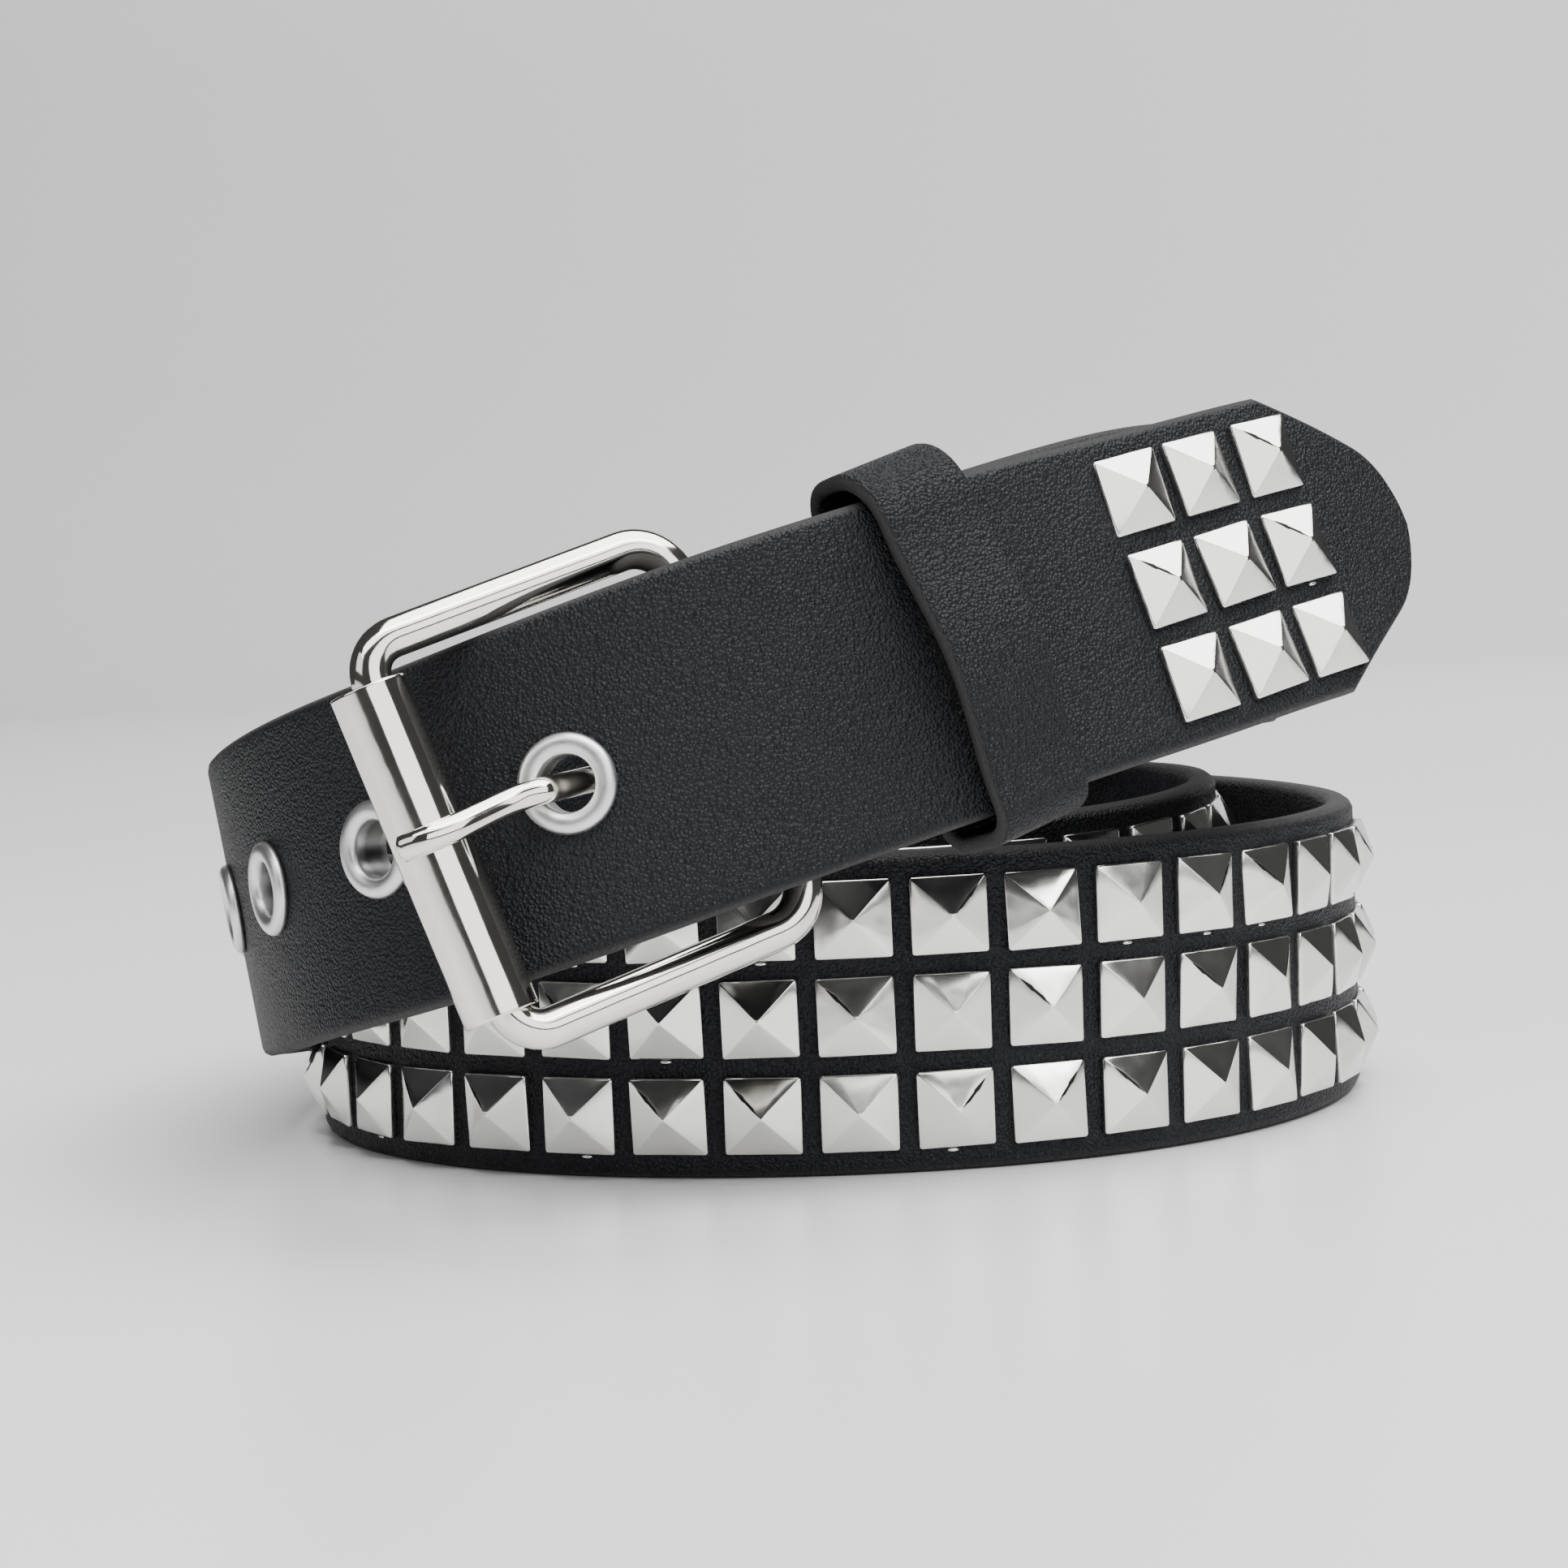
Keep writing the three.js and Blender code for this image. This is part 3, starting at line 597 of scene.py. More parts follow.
# Bent end of a prong that shows below some studs. Rings: size as a share of the foot's, and height
# as a share of the whole.
NUB_RINGS = ((1.0, -0.3), (0.9, 0.5), (0.45, 1.0))
NUB_SIDES = 8
NUB_CHANCE = 0.3


def slit_marks(rings, slit_quarter):
    """Marks along the ridge that a stud's slit runs down, for each point of its rings."""
    points = SIDE_POINTS + BEND_POINTS
    bend = ()
    if slit_quarter is not None:
        bend = range(slit_quarter * points + SIDE_POINTS, (slit_quarter + 1) * points)
    marks = []
    for _, _, _, rise in rings:
        shade = SLIT_MARKS.get(round(1 - rise, 3), 0.0)
        marks += [shade if i in bend else 0.0 for i in range(4 * points)]
    return marks


def nub_points(centre, facet):
    """A tiny rounded bump of bent prong, longer along the strap than across it."""
    half_length, half_width, height = 0.8 * MM, 0.25 * MM, 0.25 * MM
    points = []
    for share, lift in NUB_RINGS:
        for step in range(NUB_SIDES):
            turn = 2 * math.pi * step / NUB_SIDES
            along = facet.along * (math.cos(turn) * share * half_length)
            across = facet.across * (math.sin(turn) * share * half_width)
            points.append(centre + along + across + facet.outward * (lift * height))
    return points


def stud_field(name, places, heights, route, seed):
    """All studs at the given lengths and heights as one mesh, each a little off true."""
    studs = settings("belt_studs")
    leather = settings("belt_leather")
    rings = stud_rings(studs)
    sides = 4 * (SIDE_POINTS + BEND_POINTS)
    sink = 0.12 * MM
    tilt_spread, nod_spread = 0.022, 0.036
    chance = random.Random(seed)
    points, faces, rises, tones, slits = [], [], [], [], []
    for place in places:
        facet = route.facet(place, studs.side / 2)
        seat = route.at(place).centre
        for height in heights:
            turn, tilt, nod = (chance.gauss(0, spread) for spread in (tilt_spread, tilt_spread, nod_spread))
            tone = chance.random()
            start = len(points)
            loose = facet.turned(turn * 0.5)
            middle = seat + facet.across * height
            for half, corner, lift, rise in rings:
                for x, y in square_ring(half, corner):
                    depth = leather.thickness / 2 - sink + lift + tilt * x + nod * y
                    points.append(middle + loose.along * x + loose.across * y + facet.outward * depth)
                    rises.append(rise)
                    tones.append(tone)
            faces += loft_faces(len(rings), sides, start=start)
            slits += slit_marks(rings, chance.choice(SLIT_QUARTERS))
            if chance.random() < NUB_CHANCE:
                below = studs.side / 2 + 0.35 * MM
                spot = middle - facet.across * below + facet.along * chance.uniform(-1, 1) * MM
                nub = nub_points(spot + facet.outward * leather.thickness / 2, facet)
                faces += loft_faces(len(NUB_RINGS), NUB_SIDES, start=len(points))
                points += nub
                rises += [0.5] * len(nub)
                tones += [tone] * len(nub)
                slits += [0.0] * len(nub)
    mesh = mesh_from(name, points, faces, {"rise": rises, "tone": tones, "slit": slits})
    point_outwards(mesh)
    return mesh


# Turned pieces


def turned_mesh(name, profile, sides, place):
    """A closed profile of radius, depth and mark, turned about the outward direction of a place."""
    points, values = [], []
    for step in range(sides):
        turn = 2 * math.pi * step / sides
        for radius, depth, mark in profile:
            points.append(place.point(radius * math.sin(turn), depth, radius * math.cos(turn)))
            values.append(mark)
    mesh = mesh_from(name, points, loft_faces(sides, len(profile), is_ring=True), {"rise": values})
    point_outwards(mesh)
    return mesh


# Flat rolled rim behind an eyelet. Columns: distance from the bore in mm, and depth as a share of
# the rim's whole depth.
EYELET_BACK_ROWS = ((0.1, 0.8), (0.35, 0.95), (0.8, 1.0), (1.4, 0.98), (1.75, 0.9), (1.9, 0.78))


def eyelet_profile(eyelets, leather):
    """Section of an eyelet: a round domed rim, the barrel and a flat rolled rim behind.

    Each row is a radius, a depth and how far the surface lies out of the hole, which sets where the painted
    shade inside the hole falls.
    """
    face = leather.thickness / 2
    front = face + eyelets.seat * 0.2
    middle = (eyelets.rim + eyelets.bore) / 2
    half = (eyelets.rim - eyelets.bore) / 2
    profile = []
    foot = 0.25 * MM
    dome_steps = 12
    for step in range(dome_steps + 1):
        turn = math.pi * step / dome_steps
        rise = eyelets.dome * math.sin(turn) ** 0.8
        profile.append((middle + half * math.cos(turn), front + foot + rise, 1.0))
    profile += [(eyelets.bore, face * 0.5, 0.0), (eyelets.bore, -face * 0.7, 0.0)]
    back = face + eyelets.seat + eyelets.back
    for spread, depth in EYELET_BACK_ROWS:
        profile.append((eyelets.bore + spread * MM, -back * depth, 1.0))
    profile += [(eyelets.barrel + 0.6 * MM, -face - 0.05 * MM, 1.0), (eyelets.barrel, -face, 1.0)]
    profile += [(eyelets.barrel, face, 1.0), (eyelets.rim - 0.3 * MM, front, 1.0)]
    return profile


# Buckle


class BuckleFrame(Frame):
    """Plane of the buckle: the roller bar is in front of the tip end, the heel bar behind."""

    def __init__(self, route):
        leather = settings("belt_leather")
        buckle = settings("belt_buckle")
        _, bar, _ = fold_frames(route)
        heel = route.at(0.0)
        depth = leather.thickness / 2 + buckle.roller + buckle.roller_play
        near, far = route.heel - buckle.span * 1.4, route.heel
        for _ in range(30):
            middle = (near + far) / 2
            if np.linalg.norm(route.at(middle).point(depth=depth) - bar) > buckle.span:
                near = middle
            else:
                far = middle
        at_roller = route.at(near)
        across = heel.across + (at_roller.across - heel.across) * buckle.twist_share
        across = spin(unit(across), heel.outward, buckle.skew)
        along = bar - at_roller.point(depth=depth)
        along = unit(along - across * dots(along, across))
        across = unit(across - along * dots(across, along))
        super().__init__(bar - along * buckle.span, along, across)
        self.roller = self.point(0, buckle.roller_lift, -buckle.roller_slip)


def wire_path(buckle):
    """Middle line of the frame: rows of forward, height and bearing round four bends."""
    side = buckle.opening / 2 + buckle.wire
    corners = (
        (0, side, buckle.roller_corner, 1),
        (0, -side, buckle.roller_corner, 2),
        (buckle.span, -side, buckle.heel_corner, 3),
        (buckle.span, side, buckle.heel_corner, 0),
    )
    bend_steps = 12
    rows = []
    for forward, height, radius, quarter in corners:
        x = forward - radius if forward > 0 else forward + radius
        y = height - radius if height > 0 else height + radius
        for step in range(bend_steps + 1):
            bearing = math.pi / 2 * (quarter + step / bend_steps)
            rows.append((x + radius * math.cos(bearing), y + radius * math.sin(bearing), bearing))
    return rows


def wire_mesh(plane):
    """The frame's closed ring of round wire."""
    buckle = settings("belt_buckle")
    sides = 28
    points = []
    rows = wire_path(buckle)
    for forward, height, bearing in rows:
        middle = plane.point(height + buckle.shift, 0, forward)
        away = plane.along * math.cos(bearing) + plane.across * math.sin(bearing)
        for step in range(sides):
            turn = 2 * math.pi * step / sides
            points.append(middle + (away * math.cos(turn) + plane.outward * math.sin(turn)) * buckle.wire)
    mesh = mesh_from("buckle_wire", points, loft_faces(len(rows), sides, is_ring=True))
    point_outwards(mesh)
    return mesh


def roller_mesh(plane):
    """A tube rolled from sheet, with its seam behind, left open by a hair."""
    buckle = settings("belt_buckle")
    half = buckle.roller_length / 2
    slack = (buckle.opening - buckle.roller_length) / 2
    end_play = 0.9 * MM
    middle = buckle.shift - slack + end_play
    seam = math.radians(268)
    seam_half = math.radians(3)
    sides = 64
    bend = 0.12 * MM
    low_end = [(-half, bend)] + [(-half + steps * bend, 0) for steps in (1, 3, 6)]
    high_end = [(-height, inset) for height, inset in reversed(low_end)]
    ends = low_end + high_end
    points = []
    for height, inset in ends:
        for radius in (buckle.roller - inset, buckle.roller - buckle.roller_wall + inset):
            ring = np.linspace(seam + seam_half, seam + 2 * math.pi - seam_half, sides)
            for turn in ring if radius > buckle.roller - buckle.roller_wall / 2 else ring[::-1]:
                around = plane.along * math.cos(turn) + plane.outward * math.sin(turn)
                points.append(plane.roller + plane.across * (middle + height) + around * radius)
    mesh = mesh_from("roller_tube", points, loft_faces(len(ends), sides * 2))
    point_outwards(mesh)
    return mesh


def smooth_path(points, count):
    """Centripetal curve through the points, resampled to even steps."""
    points = np.array(points)
    padded = np.vstack([2 * points[0] - points[1], points, 2 * points[-1] - points[-2]])
    knots = np.concatenate([[0], np.cumsum(np.linalg.norm(np.diff(padded, axis=0), axis=1) ** 0.5)])
    fine = []
    for i in range(1, len(padded) - 2):
        for t in np.linspace(knots[i], knots[i + 1], 24, endpoint=False):
            fine.append(catmull(padded[i - 1:i + 3], knots[i - 1:i + 3], t))
    fine.append(points[-1])
    fine = np.array(fine)
    run = np.concatenate([[0], np.cumsum(np.linalg.norm(np.diff(fine, axis=0), axis=1))])
    even = np.linspace(0, run[-1], count)
    return np.stack([np.interp(even, run, fine[:, axis]) for axis in range(3)], axis=1)


def catmull(points, knots, t):
    """Place on the middle one of three spans, by repeated mixing between knots."""
    level = list(points)
    for reach in (1, 2):
        spans = [knots[i + reach] - knots[i] for i in range(len(level) - 1)]
        level = [
            ((knots[i + reach] - t) * level[i] + (t - knots[i]) * level[i + 1]) / span
            for i, span in enumerate(spans)
        ]
    return ((knots[2] - t) * level[0] + (t - knots[1]) * level[1]) / (knots[2] - knots[1])


# Way of the prong: degrees round the heel bar, then a row for each point at the eyelet, then
# degrees round the roller. Columns of a row: behind the strap (-1) or in front of it (1);
# distance past the eyelet's seat, as a share of the prong's thickness; distance from the
# eyelet's middle to the strap's tip, as a share of its bore.
PRONG_BAR_TURNS = (-130, -170, 150, 110, 70, 35, 0)
PRONG_ROWS = (
    (-1, 1.18, 1.38),
    (-1, 0.64, 0.69),
    (-1, 0, 0.44),
    (1, 0, -0.44),
    (1, 0.77, -0.75),
    (1, 1.32, -1.63),
)
PRONG_ROLLER_TURNS = (12, -20, -52)


def prong_path(route, plane):
    """Round the heel bar, behind the tip end, up through the first eyelet and over the roller."""
    leather = settings("belt_leather")
    eyelets = settings("belt_eyelets")
    buckle = settings("belt_buckle")
    half = buckle.prong_thickness / 2
    bar_clearance, roller_clearance, eyelet_seat = 0.3 * MM, 0.12 * MM, 0.5 * MM
    seat = leather.thickness / 2 + eyelet_seat
    hole = route.facet(route.eyelet_places[0], eyelets.pitch / 4)
    bar = plane.point(0, 0, buckle.span)
    roller = plane.roller + plane.across * buckle.prong_rise

    def around(middle, radius, degrees):
        turn = math.radians(degrees)
        return middle + (plane.outward * math.cos(turn) + plane.along * math.sin(turn)) * radius

    over_bar = buckle.wire + bar_clearance + half
    path = [around(bar, over_bar, degrees) for degrees in PRONG_BAR_TURNS]
    for side, beyond, forward in PRONG_ROWS:
        depth = side * (seat + beyond * buckle.prong_thickness)
        path.append(hole.point(0, depth, forward * eyelets.bore))
    over_roller = buckle.roller + roller_clearance + half
    path += [around(roller, over_roller, degrees) for degrees in PRONG_ROLLER_TURNS]
    return path


def prong_mesh(route, plane):
    """A flat bar along the prong's way, with both ends rounded over their last steps."""
    buckle = settings("belt_buckle")
    count, sides = 150, 24
    path = smooth_path(prong_path(route, plane), count)
    along = unit(np.gradient(path, axis=0))
    points = []
    for i, (middle, forward) in enumerate(zip(path, along)):
        lift = unit(np.cross(forward, plane.across))
        left = (count - 1 - i) / (count - 1)
        taper = min(1.0, (left * 150 + 0.45) ** 0.5)
        start = min(1.0, (i * 0.4 + 0.1) ** 0.5)
        for step in range(sides):
            turn = 2 * math.pi * step / sides
            wide = buckle.prong_width / 2 * math.sin(turn) * taper * start
            high = buckle.prong_thickness / 2 * math.cos(turn) * taper * start
            points.append(middle + lift * high + plane.across * wide)
    mesh = mesh_from("prong_bar", points, loft_faces(count, sides))
    point_outwards(mesh)
    return mesh


def keeper_path(low, high, back, front):
    """Inner face of the keeper: rows of height, depth and bearing, with an arched front."""
    keeper = settings("belt_keeper")
    corners = (
        (high, front, keeper.crown, 0),
        (high, back, keeper.corner, 1),
        (low, back, keeper.corner, 2),
        (low, front, keeper.corner, 3),
    )
    bend_steps = 10
    rows = []
    for height, depth, radius, quarter in corners:
        x = height - radius if height == high else height + radius
        y = depth - radius if depth == front else depth + radius
        for step in range(bend_steps + 1):
            bearing = math.pi / 2 * (quarter + step / bend_steps)
            rows.append((x + radius * math.sin(bearing), y + radius * math.cos(bearing), bearing))
    foot = low + keeper.corner
    span = high - keeper.crown - foot
    arch_steps = 40
    for step in range(1, arch_steps):
        turn = 2 * math.pi * step / arch_steps
        slope = math.pi * keeper.arch * math.sin(turn) / span
        bow = keeper.arch * (1 - math.cos(turn)) / 2
        rows.append((foot + span * step / arch_steps, front + bow, -math.atan(slope)))
    return rows


def keeper_mesh(route):
    """Leather band round both plies, with rounded long edges."""
    leather = settings("belt_leather")
    keeper = settings("belt_keeper")
    place = route.at(route.heel + keeper.to_heel).turned(keeper.skew)
    plies = route.at(keeper.to_heel).centre - place.centre
    front = leather.thickness / 2 + keeper.play
    back = float(dots(plies, place.outward)[0]) - front
    side = float(dots(plies, place.across)[0])
    low = min(0, side) - leather.width / 2 - keeper.drop
    high = max(0, side) + leather.width / 2 + keeper.play + keeper.bulge
    rows = keeper_path(low, high, back, front)
    section = rounded_section(keeper.width / 2, keeper.thickness / 2, keeper.edge, 9)
    points, edges = [], []
    for height, depth, turn in rows:
        for forward, lift, edge in section:
            off = keeper.thickness / 2 + lift
            points.append(place.point(height + off * math.sin(turn), depth + off * math.cos(turn), forward))
            edges.append(edge)
    faces = loft_faces(len(rows), len(section), is_ring=True)
    mesh = mesh_from("keeper_band", points, faces, {"edge": edges})
    point_outwards(mesh)
    return mesh


# Materials


class Value:
    """An output of a material's node, with arithmetic on plain numbers and on other outputs."""

    def __init__(self, paint, socket):
        self.paint = paint
        self.socket = socket

    def __add__(self, other):
        return self.paint.maths("ADD", self, other)

    __radd__ = __add__

    def __sub__(self, other):
        return self.paint.maths("SUBTRACT", self, other)

    def __rsub__(self, other):
        return self.paint.maths("SUBTRACT", other, self)

    def __mul__(self, other):
        return self.paint.maths("MULTIPLY", self, other)

    __rmul__ = __mul__


class Paint:
    """A material in the making."""

    def __init__(self, name):
        self.material = bpy.data.materials.new(name)
        self.material.use_nodes = True
        self.tree = self.material.node_tree
        self.surface = self.tree.nodes["Principled BSDF"]

    def node(self, kind, options=None, inputs=None, output=0):
        """A node of a type, with its settings and the values or links of its sockets."""
        made = self.tree.nodes.new(kind)
        for option, value in (options or {}).items():
            setattr(made, option, value)
        for key, value in (inputs or {}).items():
            self.feed(self.find(made.inputs, key), value)
        return Value(self, self.find(made.outputs, output))

    def find(self, sockets, key):
        """A socket by its place in the list, or the one in use that has a name."""
        if isinstance(key, int):
            return sockets[key]
        return next(socket for socket in sockets if socket.name == key and socket.enabled)

    def feed(self, socket, value):
        if isinstance(value, Value):
            self.tree.links.new(value.socket, socket)
        else:
            socket.default_value = value

    def maths(self, operation, a, b):
        return self.node("ShaderNodeMath", {"operation": operation}, {0: a, 1: b})

    def clamp(self, value):
        return self.node("ShaderNodeClamp", None, {"Value": value})

    def mix(self, factor, a, b):
        """Colour between two colours."""
        options = {"data_type": "RGBA"}
        return self.node("ShaderNodeMix", options, {"Factor": factor, "A": a, "B": b}, "Result")

    def here(self):
        return self.node("ShaderNodeTexCoord", output="Object")

    def mark(self, name):
        return self.node("ShaderNodeAttribute", {"attribute_name": name}, output="Fac")

    def noise(self, size, detail=2.0, roughness=0.5):
        """Soft noise with blobs of about a size in metres."""
        inputs = {"Vector": self.here(), "Scale": 1 / size, "Detail": detail, "Roughness": roughness}
        return self.node("ShaderNodeTexNoise", None, inputs)

    def bump(self, height, distance, strength=1.0):
        inputs = {"Height": height, "Distance": distance, "Strength": strength}
        return self.node("ShaderNodeBump", None, inputs)

    def finish(self, inputs):
        for key, value in inputs.items():
            self.feed(self.surface.inputs[key], value)
        return self.material


def scaled(rgb, by=1.0):
    """A colour made darker or lighter, in the form that a socket takes."""
    return (rgb[0] * by, rgb[1] * by, rgb[2] * by, 1)


def leather_finish(name):
    """Black grained leather with a soft sheen, painted highlights on the tops of the grain's pebbles, and
    painted edges.
    """
    leather = settings("belt_leather")
    paint = Paint(name)
    here = paint.here()
    pebbles_per_metre, waves_per_metre, wander = 2400, 1500, (0.0004,) * 3
    waves = {"Vector": here, "Scale": waves_per_metre, "Detail": 1.0}
    warp = paint.node("ShaderNodeTexNoise", None, waves, "Color")
    spread = {"operation": "MULTIPLY_ADD"}
    warped = paint.node("ShaderNodeVectorMath", spread, {0: warp, 1: wander, 2: here})
    cells = {"Vector": warped, "Scale": pebbles_per_metre}
    pebble = paint.node("ShaderNodeTexVoronoi", None, cells, "Distance")
    fine = paint.noise(0.00022, 2.0)
    broad = paint.noise(0.014, 3.0, 0.6)
    crease = paint.noise(0.0016, 3.0, 0.65)
    edge = paint.clamp(paint.mark("edge") * 1.6 - 0.35)
    face = 1 - edge
    tone = paint.clamp(broad * 1.4 - 0.2)
    skin_and_painted_highlight = paint.mix(tone, scaled(leather.colour, 0.72), scaled(leather.colour, 1.35))
    # Painted highlight: the tops of the grain's pebbles are lightened towards 2.6 times the leather's
    # black, standing in for light glinting on the grain.
    painted_highlight_on_tops = paint.clamp(1.05 - pebble * 1.5)
    skin_and_painted_highlight = paint.mix(painted_highlight_on_tops * 0.5, skin_and_painted_highlight, scaled(leather.colour, 2.6))
    both = paint.mix(edge, skin_and_painted_highlight, scaled(leather.edge_colour))
    rough = 0.27 + pebble * 0.26 + broad * 0.12 + edge * 0.18
    relief = (1 - pebble) * face + fine * 0.3 + crease * face * 0.35
    normal = paint.bump(relief, 0.0003, 1.0)
    finish = {"Base Color": both, "Roughness": rough, "Normal": normal, "Specular IOR Level": 0.2}
    return paint.finish(finish)


def nickel_finish(name, rgb, roughness, ripple):
    """Polished nickel plate, with faint smears and a soft unevenness."""
    paint = Paint(name)
    smear = paint.noise(0.004, 4.0, 0.6)
    fine = paint.noise(0.0007, 3.0, 0.6)
    tone = paint.clamp(smear * 1.5 - 0.25)
    base = paint.mix(tone, scaled(rgb, 0.93), scaled(rgb, 1.04))
    rough = roughness + paint.clamp(smear * 2 - 0.75) * 0.07 + fine * 0.03
    normal = paint.bump(paint.noise(0.0045, 1.0), ripple, 1.0)
    return paint.finish({"Base Color": base, "Metallic": 1.0, "Roughness": rough, "Normal": normal})


def stud_finish():
    """Nickel of the studs, with painted shade where the rim meets the leather, each stud a touch different.
    """
    studs = settings("belt_studs")
    paint = Paint("stud_nickel")
    rise = paint.mark("rise")
    tone = paint.mark("tone")
    smear = paint.noise(0.003, 4.0, 0.6)
    # Painted shade: the foot of each rim, where the stud meets the leather, is darkened to about a third of
    # the nickel's colour.
    clear_of_rim_shade = paint.clamp(rise * 14)
    shade = paint.clamp(smear * 0.8 + tone * 0.5 - 0.2)
    bright = paint.mix(shade, scaled(studs.colour, 0.92), scaled(studs.colour, 1.05))
    base = paint.mix(clear_of_rim_shade, scaled(studs.colour, 0.35), bright)
    rough = 0.12 + (1 - clear_of_rim_shade) * 0.2 + paint.clamp(smear * 2 - 0.8) * 0.06 + tone * 0.08
    slit = paint.clamp(paint.mark("slit") * 14 - 12)
    base = paint.mix(slit, base, scaled(studs.colour, 0.03))
    rough = rough + slit * 0.4
    normal = paint.bump(paint.noise(0.0042, 1.0), 0.00008, 1.0)
    return paint.finish({"Base Color": base, "Metallic": 1.0, "Roughness": rough, "Normal": normal})


def satin_finish():
    """Satin plating of the eyelets, with painted shade on the wall inside the hole."""
    eyelets = settings("belt_eyelets")
    paint = Paint("eyelet_satin")
    smear = paint.noise(0.0025, 3.0, 0.6)
    fine = paint.noise(0.00025, 2.0)
    shade = paint.clamp(smear * 1.6 - 0.3)
    base = paint.mix(shade, scaled(eyelets.colour, 0.9), scaled(eyelets.colour, 1.08))
    # Painted shade: where the mark says the surface lies in the hole, the plating is darkened to a quarter
    # of its colour.
    base = paint.mix(paint.mark("rise"), scaled(eyelets.colour, 0.25), base)
    rough = 0.29 + smear * 0.12 + fine * 0.04
    normal = paint.bump(fine, 0.00003, 0.6)
    return paint.finish({"Base Color": base, "Metallic": 1.0, "Roughness": rough, "Normal": normal})


def backdrop_finish(name, rgb, roughness):
    """Plain pale paper with a faint sheen."""
    paint = Paint(name)
    cloud = paint.noise(0.6, 2.0)
    base = paint.mix(cloud, scaled(rgb, 0.97), scaled(rgb, 1.03))
    return paint.finish({"Base Color": base, "Roughness": roughness, "Specular IOR Level": 0.45})


def dress(piece, material):
    piece.data.materials.clear()
    piece.data.materials.append(material)


# Operators


class BELT_OT_strap(Operator):
    """Make the leather strap with its fold, its eyelet holes and the prong's slot"""

    bl_idname = "belt.strap"
    bl_label = "Leather strap"

    def execute(self, context):
        route = Route()
        strap = new_piece("strap_leather", strap_mesh(route), "strap_leather", "studded_strap")
        cut(strap, hole_cutters(route))
        dress(strap, leather_finish("strap_leather"))
        return {"FINISHED"}


class BELT_OT_studs(Operator):
    """Set the rows of pyramid studs round the coil and the block near the tip"""

    bl_idname = "belt.studs"
    bl_label = "Pyramid studs"

    def execute(self, context):
        route = Route()
        studs = settings("belt_studs")
        finish = stud_finish()
        heights = [((studs.rows - 1) / 2 - row) * studs.row_pitch for row in range(studs.rows)]
        coil = stud_field("coil_studs", route.stud_places, heights, route, 5)
        dress(new_piece("coil_studs", coil, "bright_nickel", "studded_strap"), finish)
        tip = stud_field("tip_studs", route.tip_places, heights, route, 8)
        nodes = [
            f"tip_stud_{column + 1}_{row + 1}"
            for column in range(studs.tip_columns) for row in range(studs.rows)
        ]
        dress(new_piece("tip_studs", tip, "bright_nickel", *nodes), finish)
        return {"FINISHED"}


class BELT_OT_eyelets(Operator):
    """Press the domed eyelets into their holes"""

    bl_idname = "belt.eyelets"
    bl_label = "Eyelets"

    def execute(self, context):
        route = Route()
        eyelets = settings("belt_eyelets")
        profile = eyelet_profile(eyelets, settings("belt_leather"))
        finish = satin_finish()
        for i, place in enumerate(route.eyelet_places):
            seat = route.facet(place, eyelets.rim)
            mesh = turned_mesh(f"eyelet_ring_{i + 1}", profile, 56, seat)
            dress(new_piece(f"eyelet_ring_{i + 1}", mesh, "satin_nickel", f"eyelet_{i + 1}"), finish)
        return {"FINISHED"}


class BELT_OT_buckle(Operator):
    """Make the buckle's frame, its roller and its prong"""

    bl_idname = "belt.buckle"
    bl_label = "Roller buckle"

    def execute(self, context):
        route = Route()
        plane = BuckleFrame(route)
        rgb = settings("belt_buckle").colour
        finish = nickel_finish("buckle_nickel", rgb, 0.06, 0.00004)
        dress(new_piece("buckle_wire", wire_mesh(plane), "bright_nickel", "buckle_frame"), finish)
        dress(new_piece("roller_tube", roller_mesh(plane), "bright_nickel", "buckle_roller"), finish)
        dress(new_piece("prong_bar", prong_mesh(route, plane), "bright_nickel", "buckle_prong"), finish)
        return {"FINISHED"}


class BELT_OT_keeper(Operator):
    """Make the leather keeper round both ends of the strap"""

    bl_idname = "belt.keeper"
    bl_label = "Keeper"

    def execute(self, context):
        keeper = new_piece("keeper_band", keeper_mesh(Route()), "keeper_leather", "keeper")
        dress(keeper, leather_finish("keeper_leather"))
        return {"FINISHED"}


def camera_matrix(axis, stage):
    """Camera in front of the coil's axis, dipped and rolled as the belt was photographed."""
    dip, roll = stage.camera_dip, stage.camera_roll
    forward = Vector((0, math.cos(dip), -math.sin(dip)))
    level_up = Vector((0, math.sin(dip), math.cos(dip)))
    right = Vector((1, 0, 0)) * math.cos(roll) - level_up * math.sin(roll)
    up = level_up * math.cos(roll) + Vector((1, 0, 0)) * math.sin(roll)
    matrix = Matrix((right, up, -forward)).transposed().to_4x4()
    place = Vector((stage.camera_side, stage.camera_back, stage.camera_height))
    matrix.translation = Vector(axis) + place
    return matrix


def soft_light(name, place, target, width, height, watts):
    """A soft box at a place, aimed at a target."""
    light = bpy.data.lights.new(name, "AREA")
    light.shape = "RECTANGLE"
    light.size, light.size_y = width, height
    light.energy = watts
    lamp = bpy.data.objects.new(name, light)
    bpy.context.scene.collection.objects.link(lamp)
    lamp.location = place
    lamp.rotation_euler = (Vector(target) - Vector(place)).to_track_quat("-Z", "Y").to_euler()


# Soft lights of the studio. Columns: name, place, what it is aimed at, width and height in metres,
# and its power in watts.
SOFT_LIGHTS = (
    ("left_box", (-1.15, -0.70, 0.62), (0, 0, 0.08), 0.9, 0.6, 2.5),
    ("top_box", (0.42, -0.08, 1.35), (0.28, -0.08, 0), 1.7, 1.5, 52),
    ("brow_box", (0.0, -0.83, 1.17), (0, 0, 0.05), 2.5, 0.55, 16),
    ("front_box", (0.70, -1.33, 0.56), (0, 0, 0.06), 1.6, 0.80, 11),
    ("wall_box", (0.9, 0.9, 1.0), (0.8, 2.2, 0.55), 2.2, 0.5, 18),
)


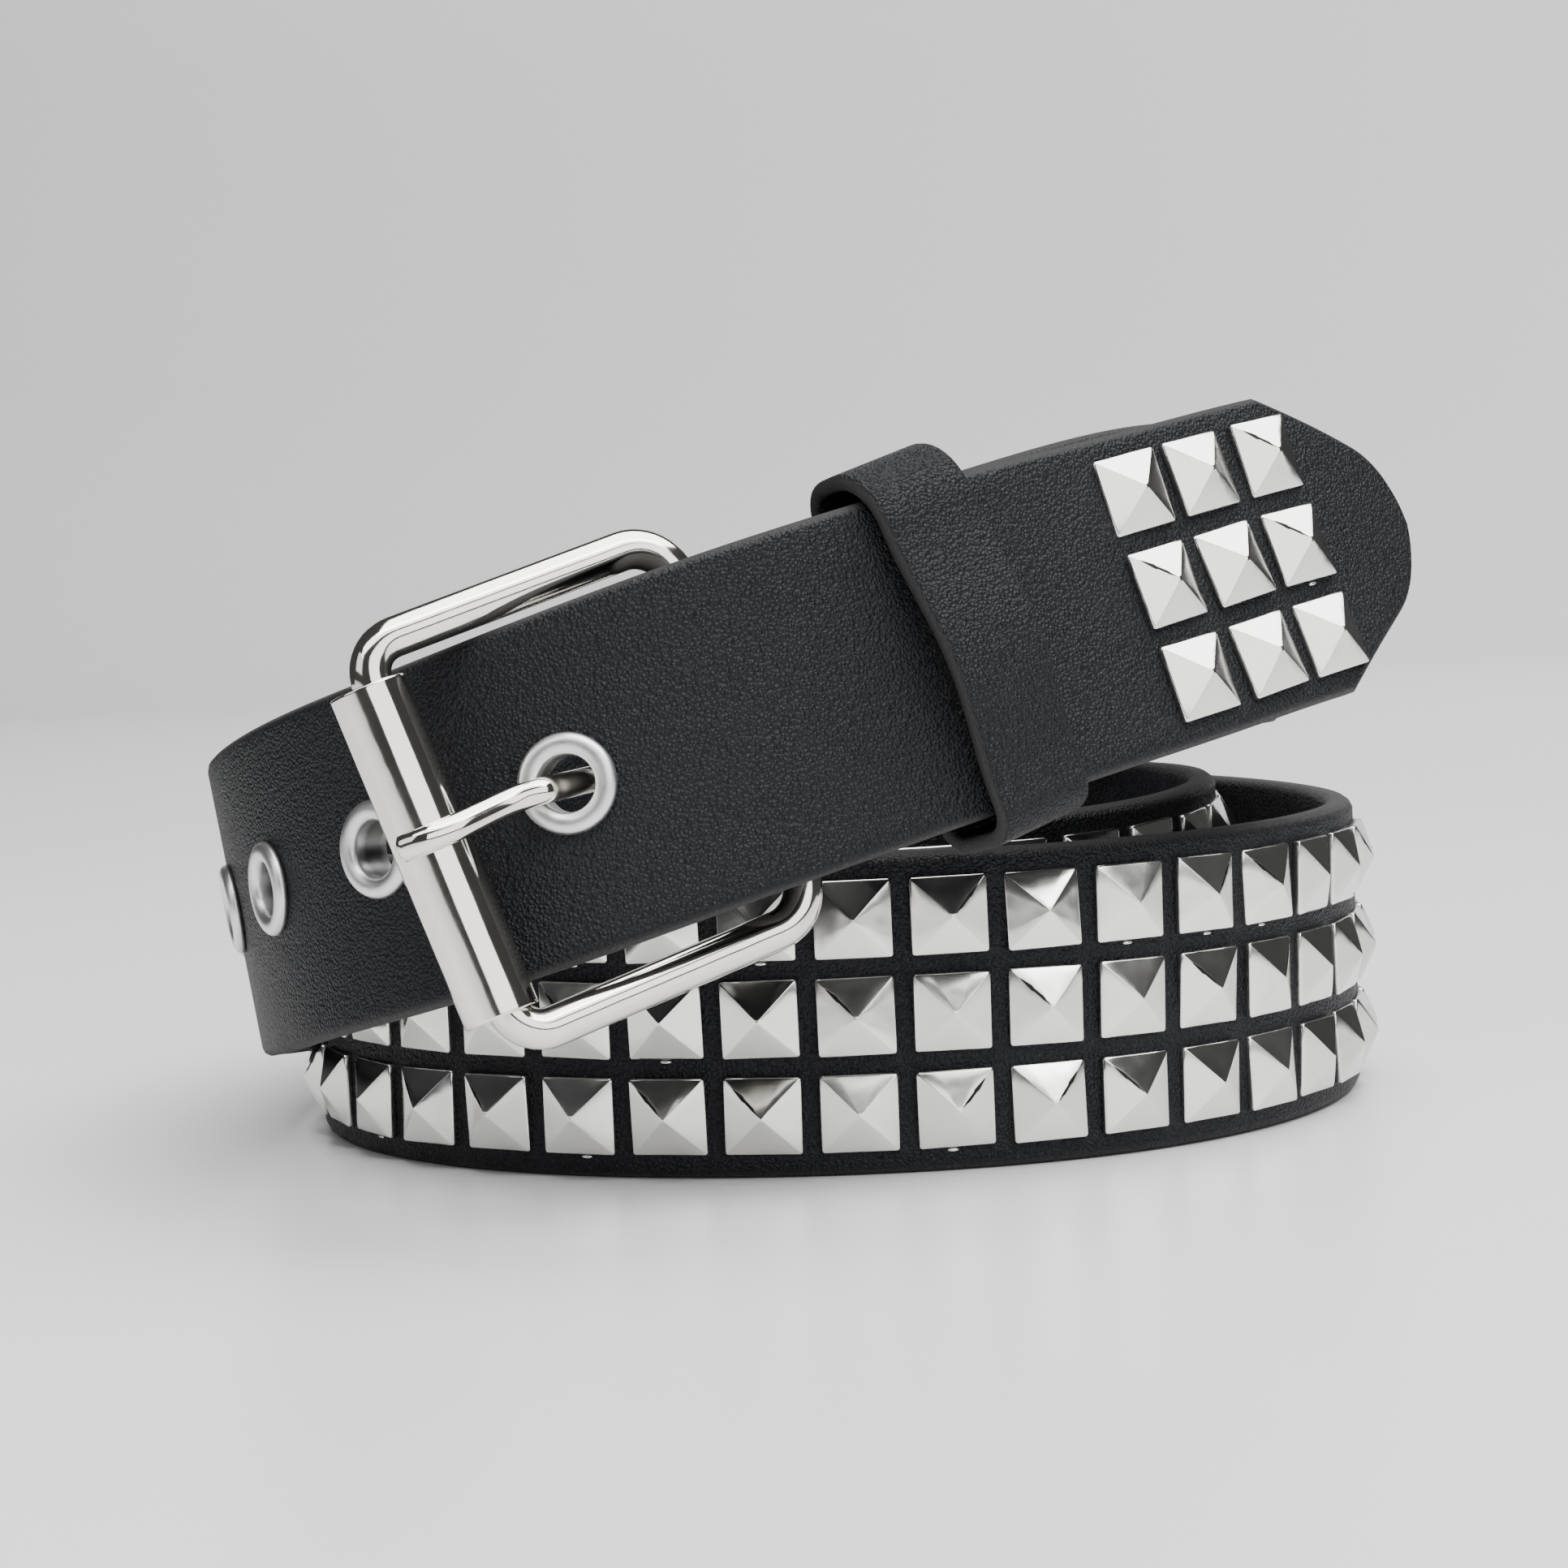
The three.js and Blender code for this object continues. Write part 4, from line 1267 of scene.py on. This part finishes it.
def backdrop_mesh(stage):
    """Level floor in front, narrower behind the belt, where it curves up into a wall."""
    whole_share, behind_share = 0.3, 0.08
    bend, wall_top, bend_steps = 0.7, 1.3, 12
    profile = [(0.0, 0.0), (stage.floor_radius * whole_share, 0.0), (stage.floor_radius, 0.0)]
    for step in range(1, bend_steps + 1):
        turn = math.pi / 2 * step / bend_steps
        profile.append((stage.floor_radius + bend * math.sin(turn), bend * (1 - math.cos(turn))))
    profile.append((stage.floor_radius + bend, wall_top))
    sides = 96
    points = [(0.0, 0.0, 0.0)]
    for radius, height in profile[1:]:
        for step in range(sides):
            turn = 2 * math.pi * step / sides
            points.append((radius * math.cos(turn), radius * math.sin(turn), height))
    faces = [(0, 1 + i, 1 + (i + 1) % sides) for i in range(sides)]
    for ring in range(len(profile) - 2):
        is_wall = ring > 0
        for i in range(sides):
            is_behind = abs(i + 0.5 - sides / 4) < sides * behind_share
            is_front = i >= sides / 2
            a, b = 1 + ring * sides + i, 1 + ring * sides + (i + 1) % sides
            if is_behind or is_front and not is_wall:
                faces.append((a, a + sides, b + sides, b))
    return mesh_from("studio_floor", points, faces)


class BELT_OT_stage(Operator):
    """Set the floor, the soft lights and the camera"""

    bl_idname = "belt.stage"
    bl_label = "Stage"

    def execute(self, context):
        stage = settings("belt_stage")
        floor = bpy.data.objects.new("studio_floor", backdrop_mesh(stage))
        context.scene.collection.objects.link(floor)
        for polygon in floor.data.polygons:
            polygon.use_smooth = True
        dress(floor, backdrop_finish("studio_floor", stage.floor_colour, 0.32))
        for name, place, target, width, height, watts in SOFT_LIGHTS:
            soft_light(name, place, target, width, height, watts)
        world = context.scene.world or bpy.data.worlds.new("studio")
        context.scene.world = world
        world.use_nodes = True
        world_strength = 0.06
        back = world.node_tree.nodes["Background"]
        back.inputs["Color"].default_value = (1, 1, 1, 1)
        back.inputs["Strength"].default_value = world_strength
        camera = bpy.data.cameras.new("camera")
        camera.sensor_width = 36
        camera.lens = stage.lens
        camera.clip_start = 0.01
        camera.clip_end = 20
        holder = bpy.data.objects.new("camera", camera)
        context.scene.collection.objects.link(holder)
        holder.matrix_world = camera_matrix(Route().shift, stage)
        context.scene.camera = holder
        return {"FINISHED"}


class BELT_PT_sidebar(Panel):
    """Lists the belt's pieces and the stage"""

    bl_idname = "BELT_PT_sidebar"
    bl_label = "Studded Belt"
    bl_space_type = "VIEW_3D"
    bl_region_type = "UI"
    bl_category = "Belt"

    def draw(self, context):
        for maker in MAKERS:
            self.layout.operator(maker.bl_idname)
        for name, group in GROUPS.items():
            box = self.layout.box()
            box.label(text=name.replace("belt_", "").title())
            for field in group.__annotations__:
                box.prop(getattr(context.scene, name), field)


GROUPS = {
    "belt_leather": BeltLeather,
    "belt_studs": BeltStuds,
    "belt_eyelets": BeltEyelets,
    "belt_buckle": BeltBuckle,
    "belt_keeper": BeltKeeper,
    "belt_stage": BeltStage,
}
MAKERS = (BELT_OT_stage, BELT_OT_strap, BELT_OT_studs, BELT_OT_eyelets, BELT_OT_buckle, BELT_OT_keeper)


def register():
    for part in (*GROUPS.values(), *MAKERS, BELT_PT_sidebar):
        bpy.utils.register_class(part)
    for name, group in GROUPS.items():
        setattr(bpy.types.Scene, name, PointerProperty(type=group))


def unregister():
    for name in GROUPS:
        delattr(bpy.types.Scene, name)
    for part in reversed((*GROUPS.values(), *MAKERS, BELT_PT_sidebar)):
        bpy.utils.unregister_class(part)


def main():
    register()
    bpy.ops.belt.stage()
    bpy.ops.belt.strap()
    bpy.ops.belt.studs()
    bpy.ops.belt.eyelets()
    bpy.ops.belt.buckle()
    bpy.ops.belt.keeper()


if __name__ == "__main__":
    main()
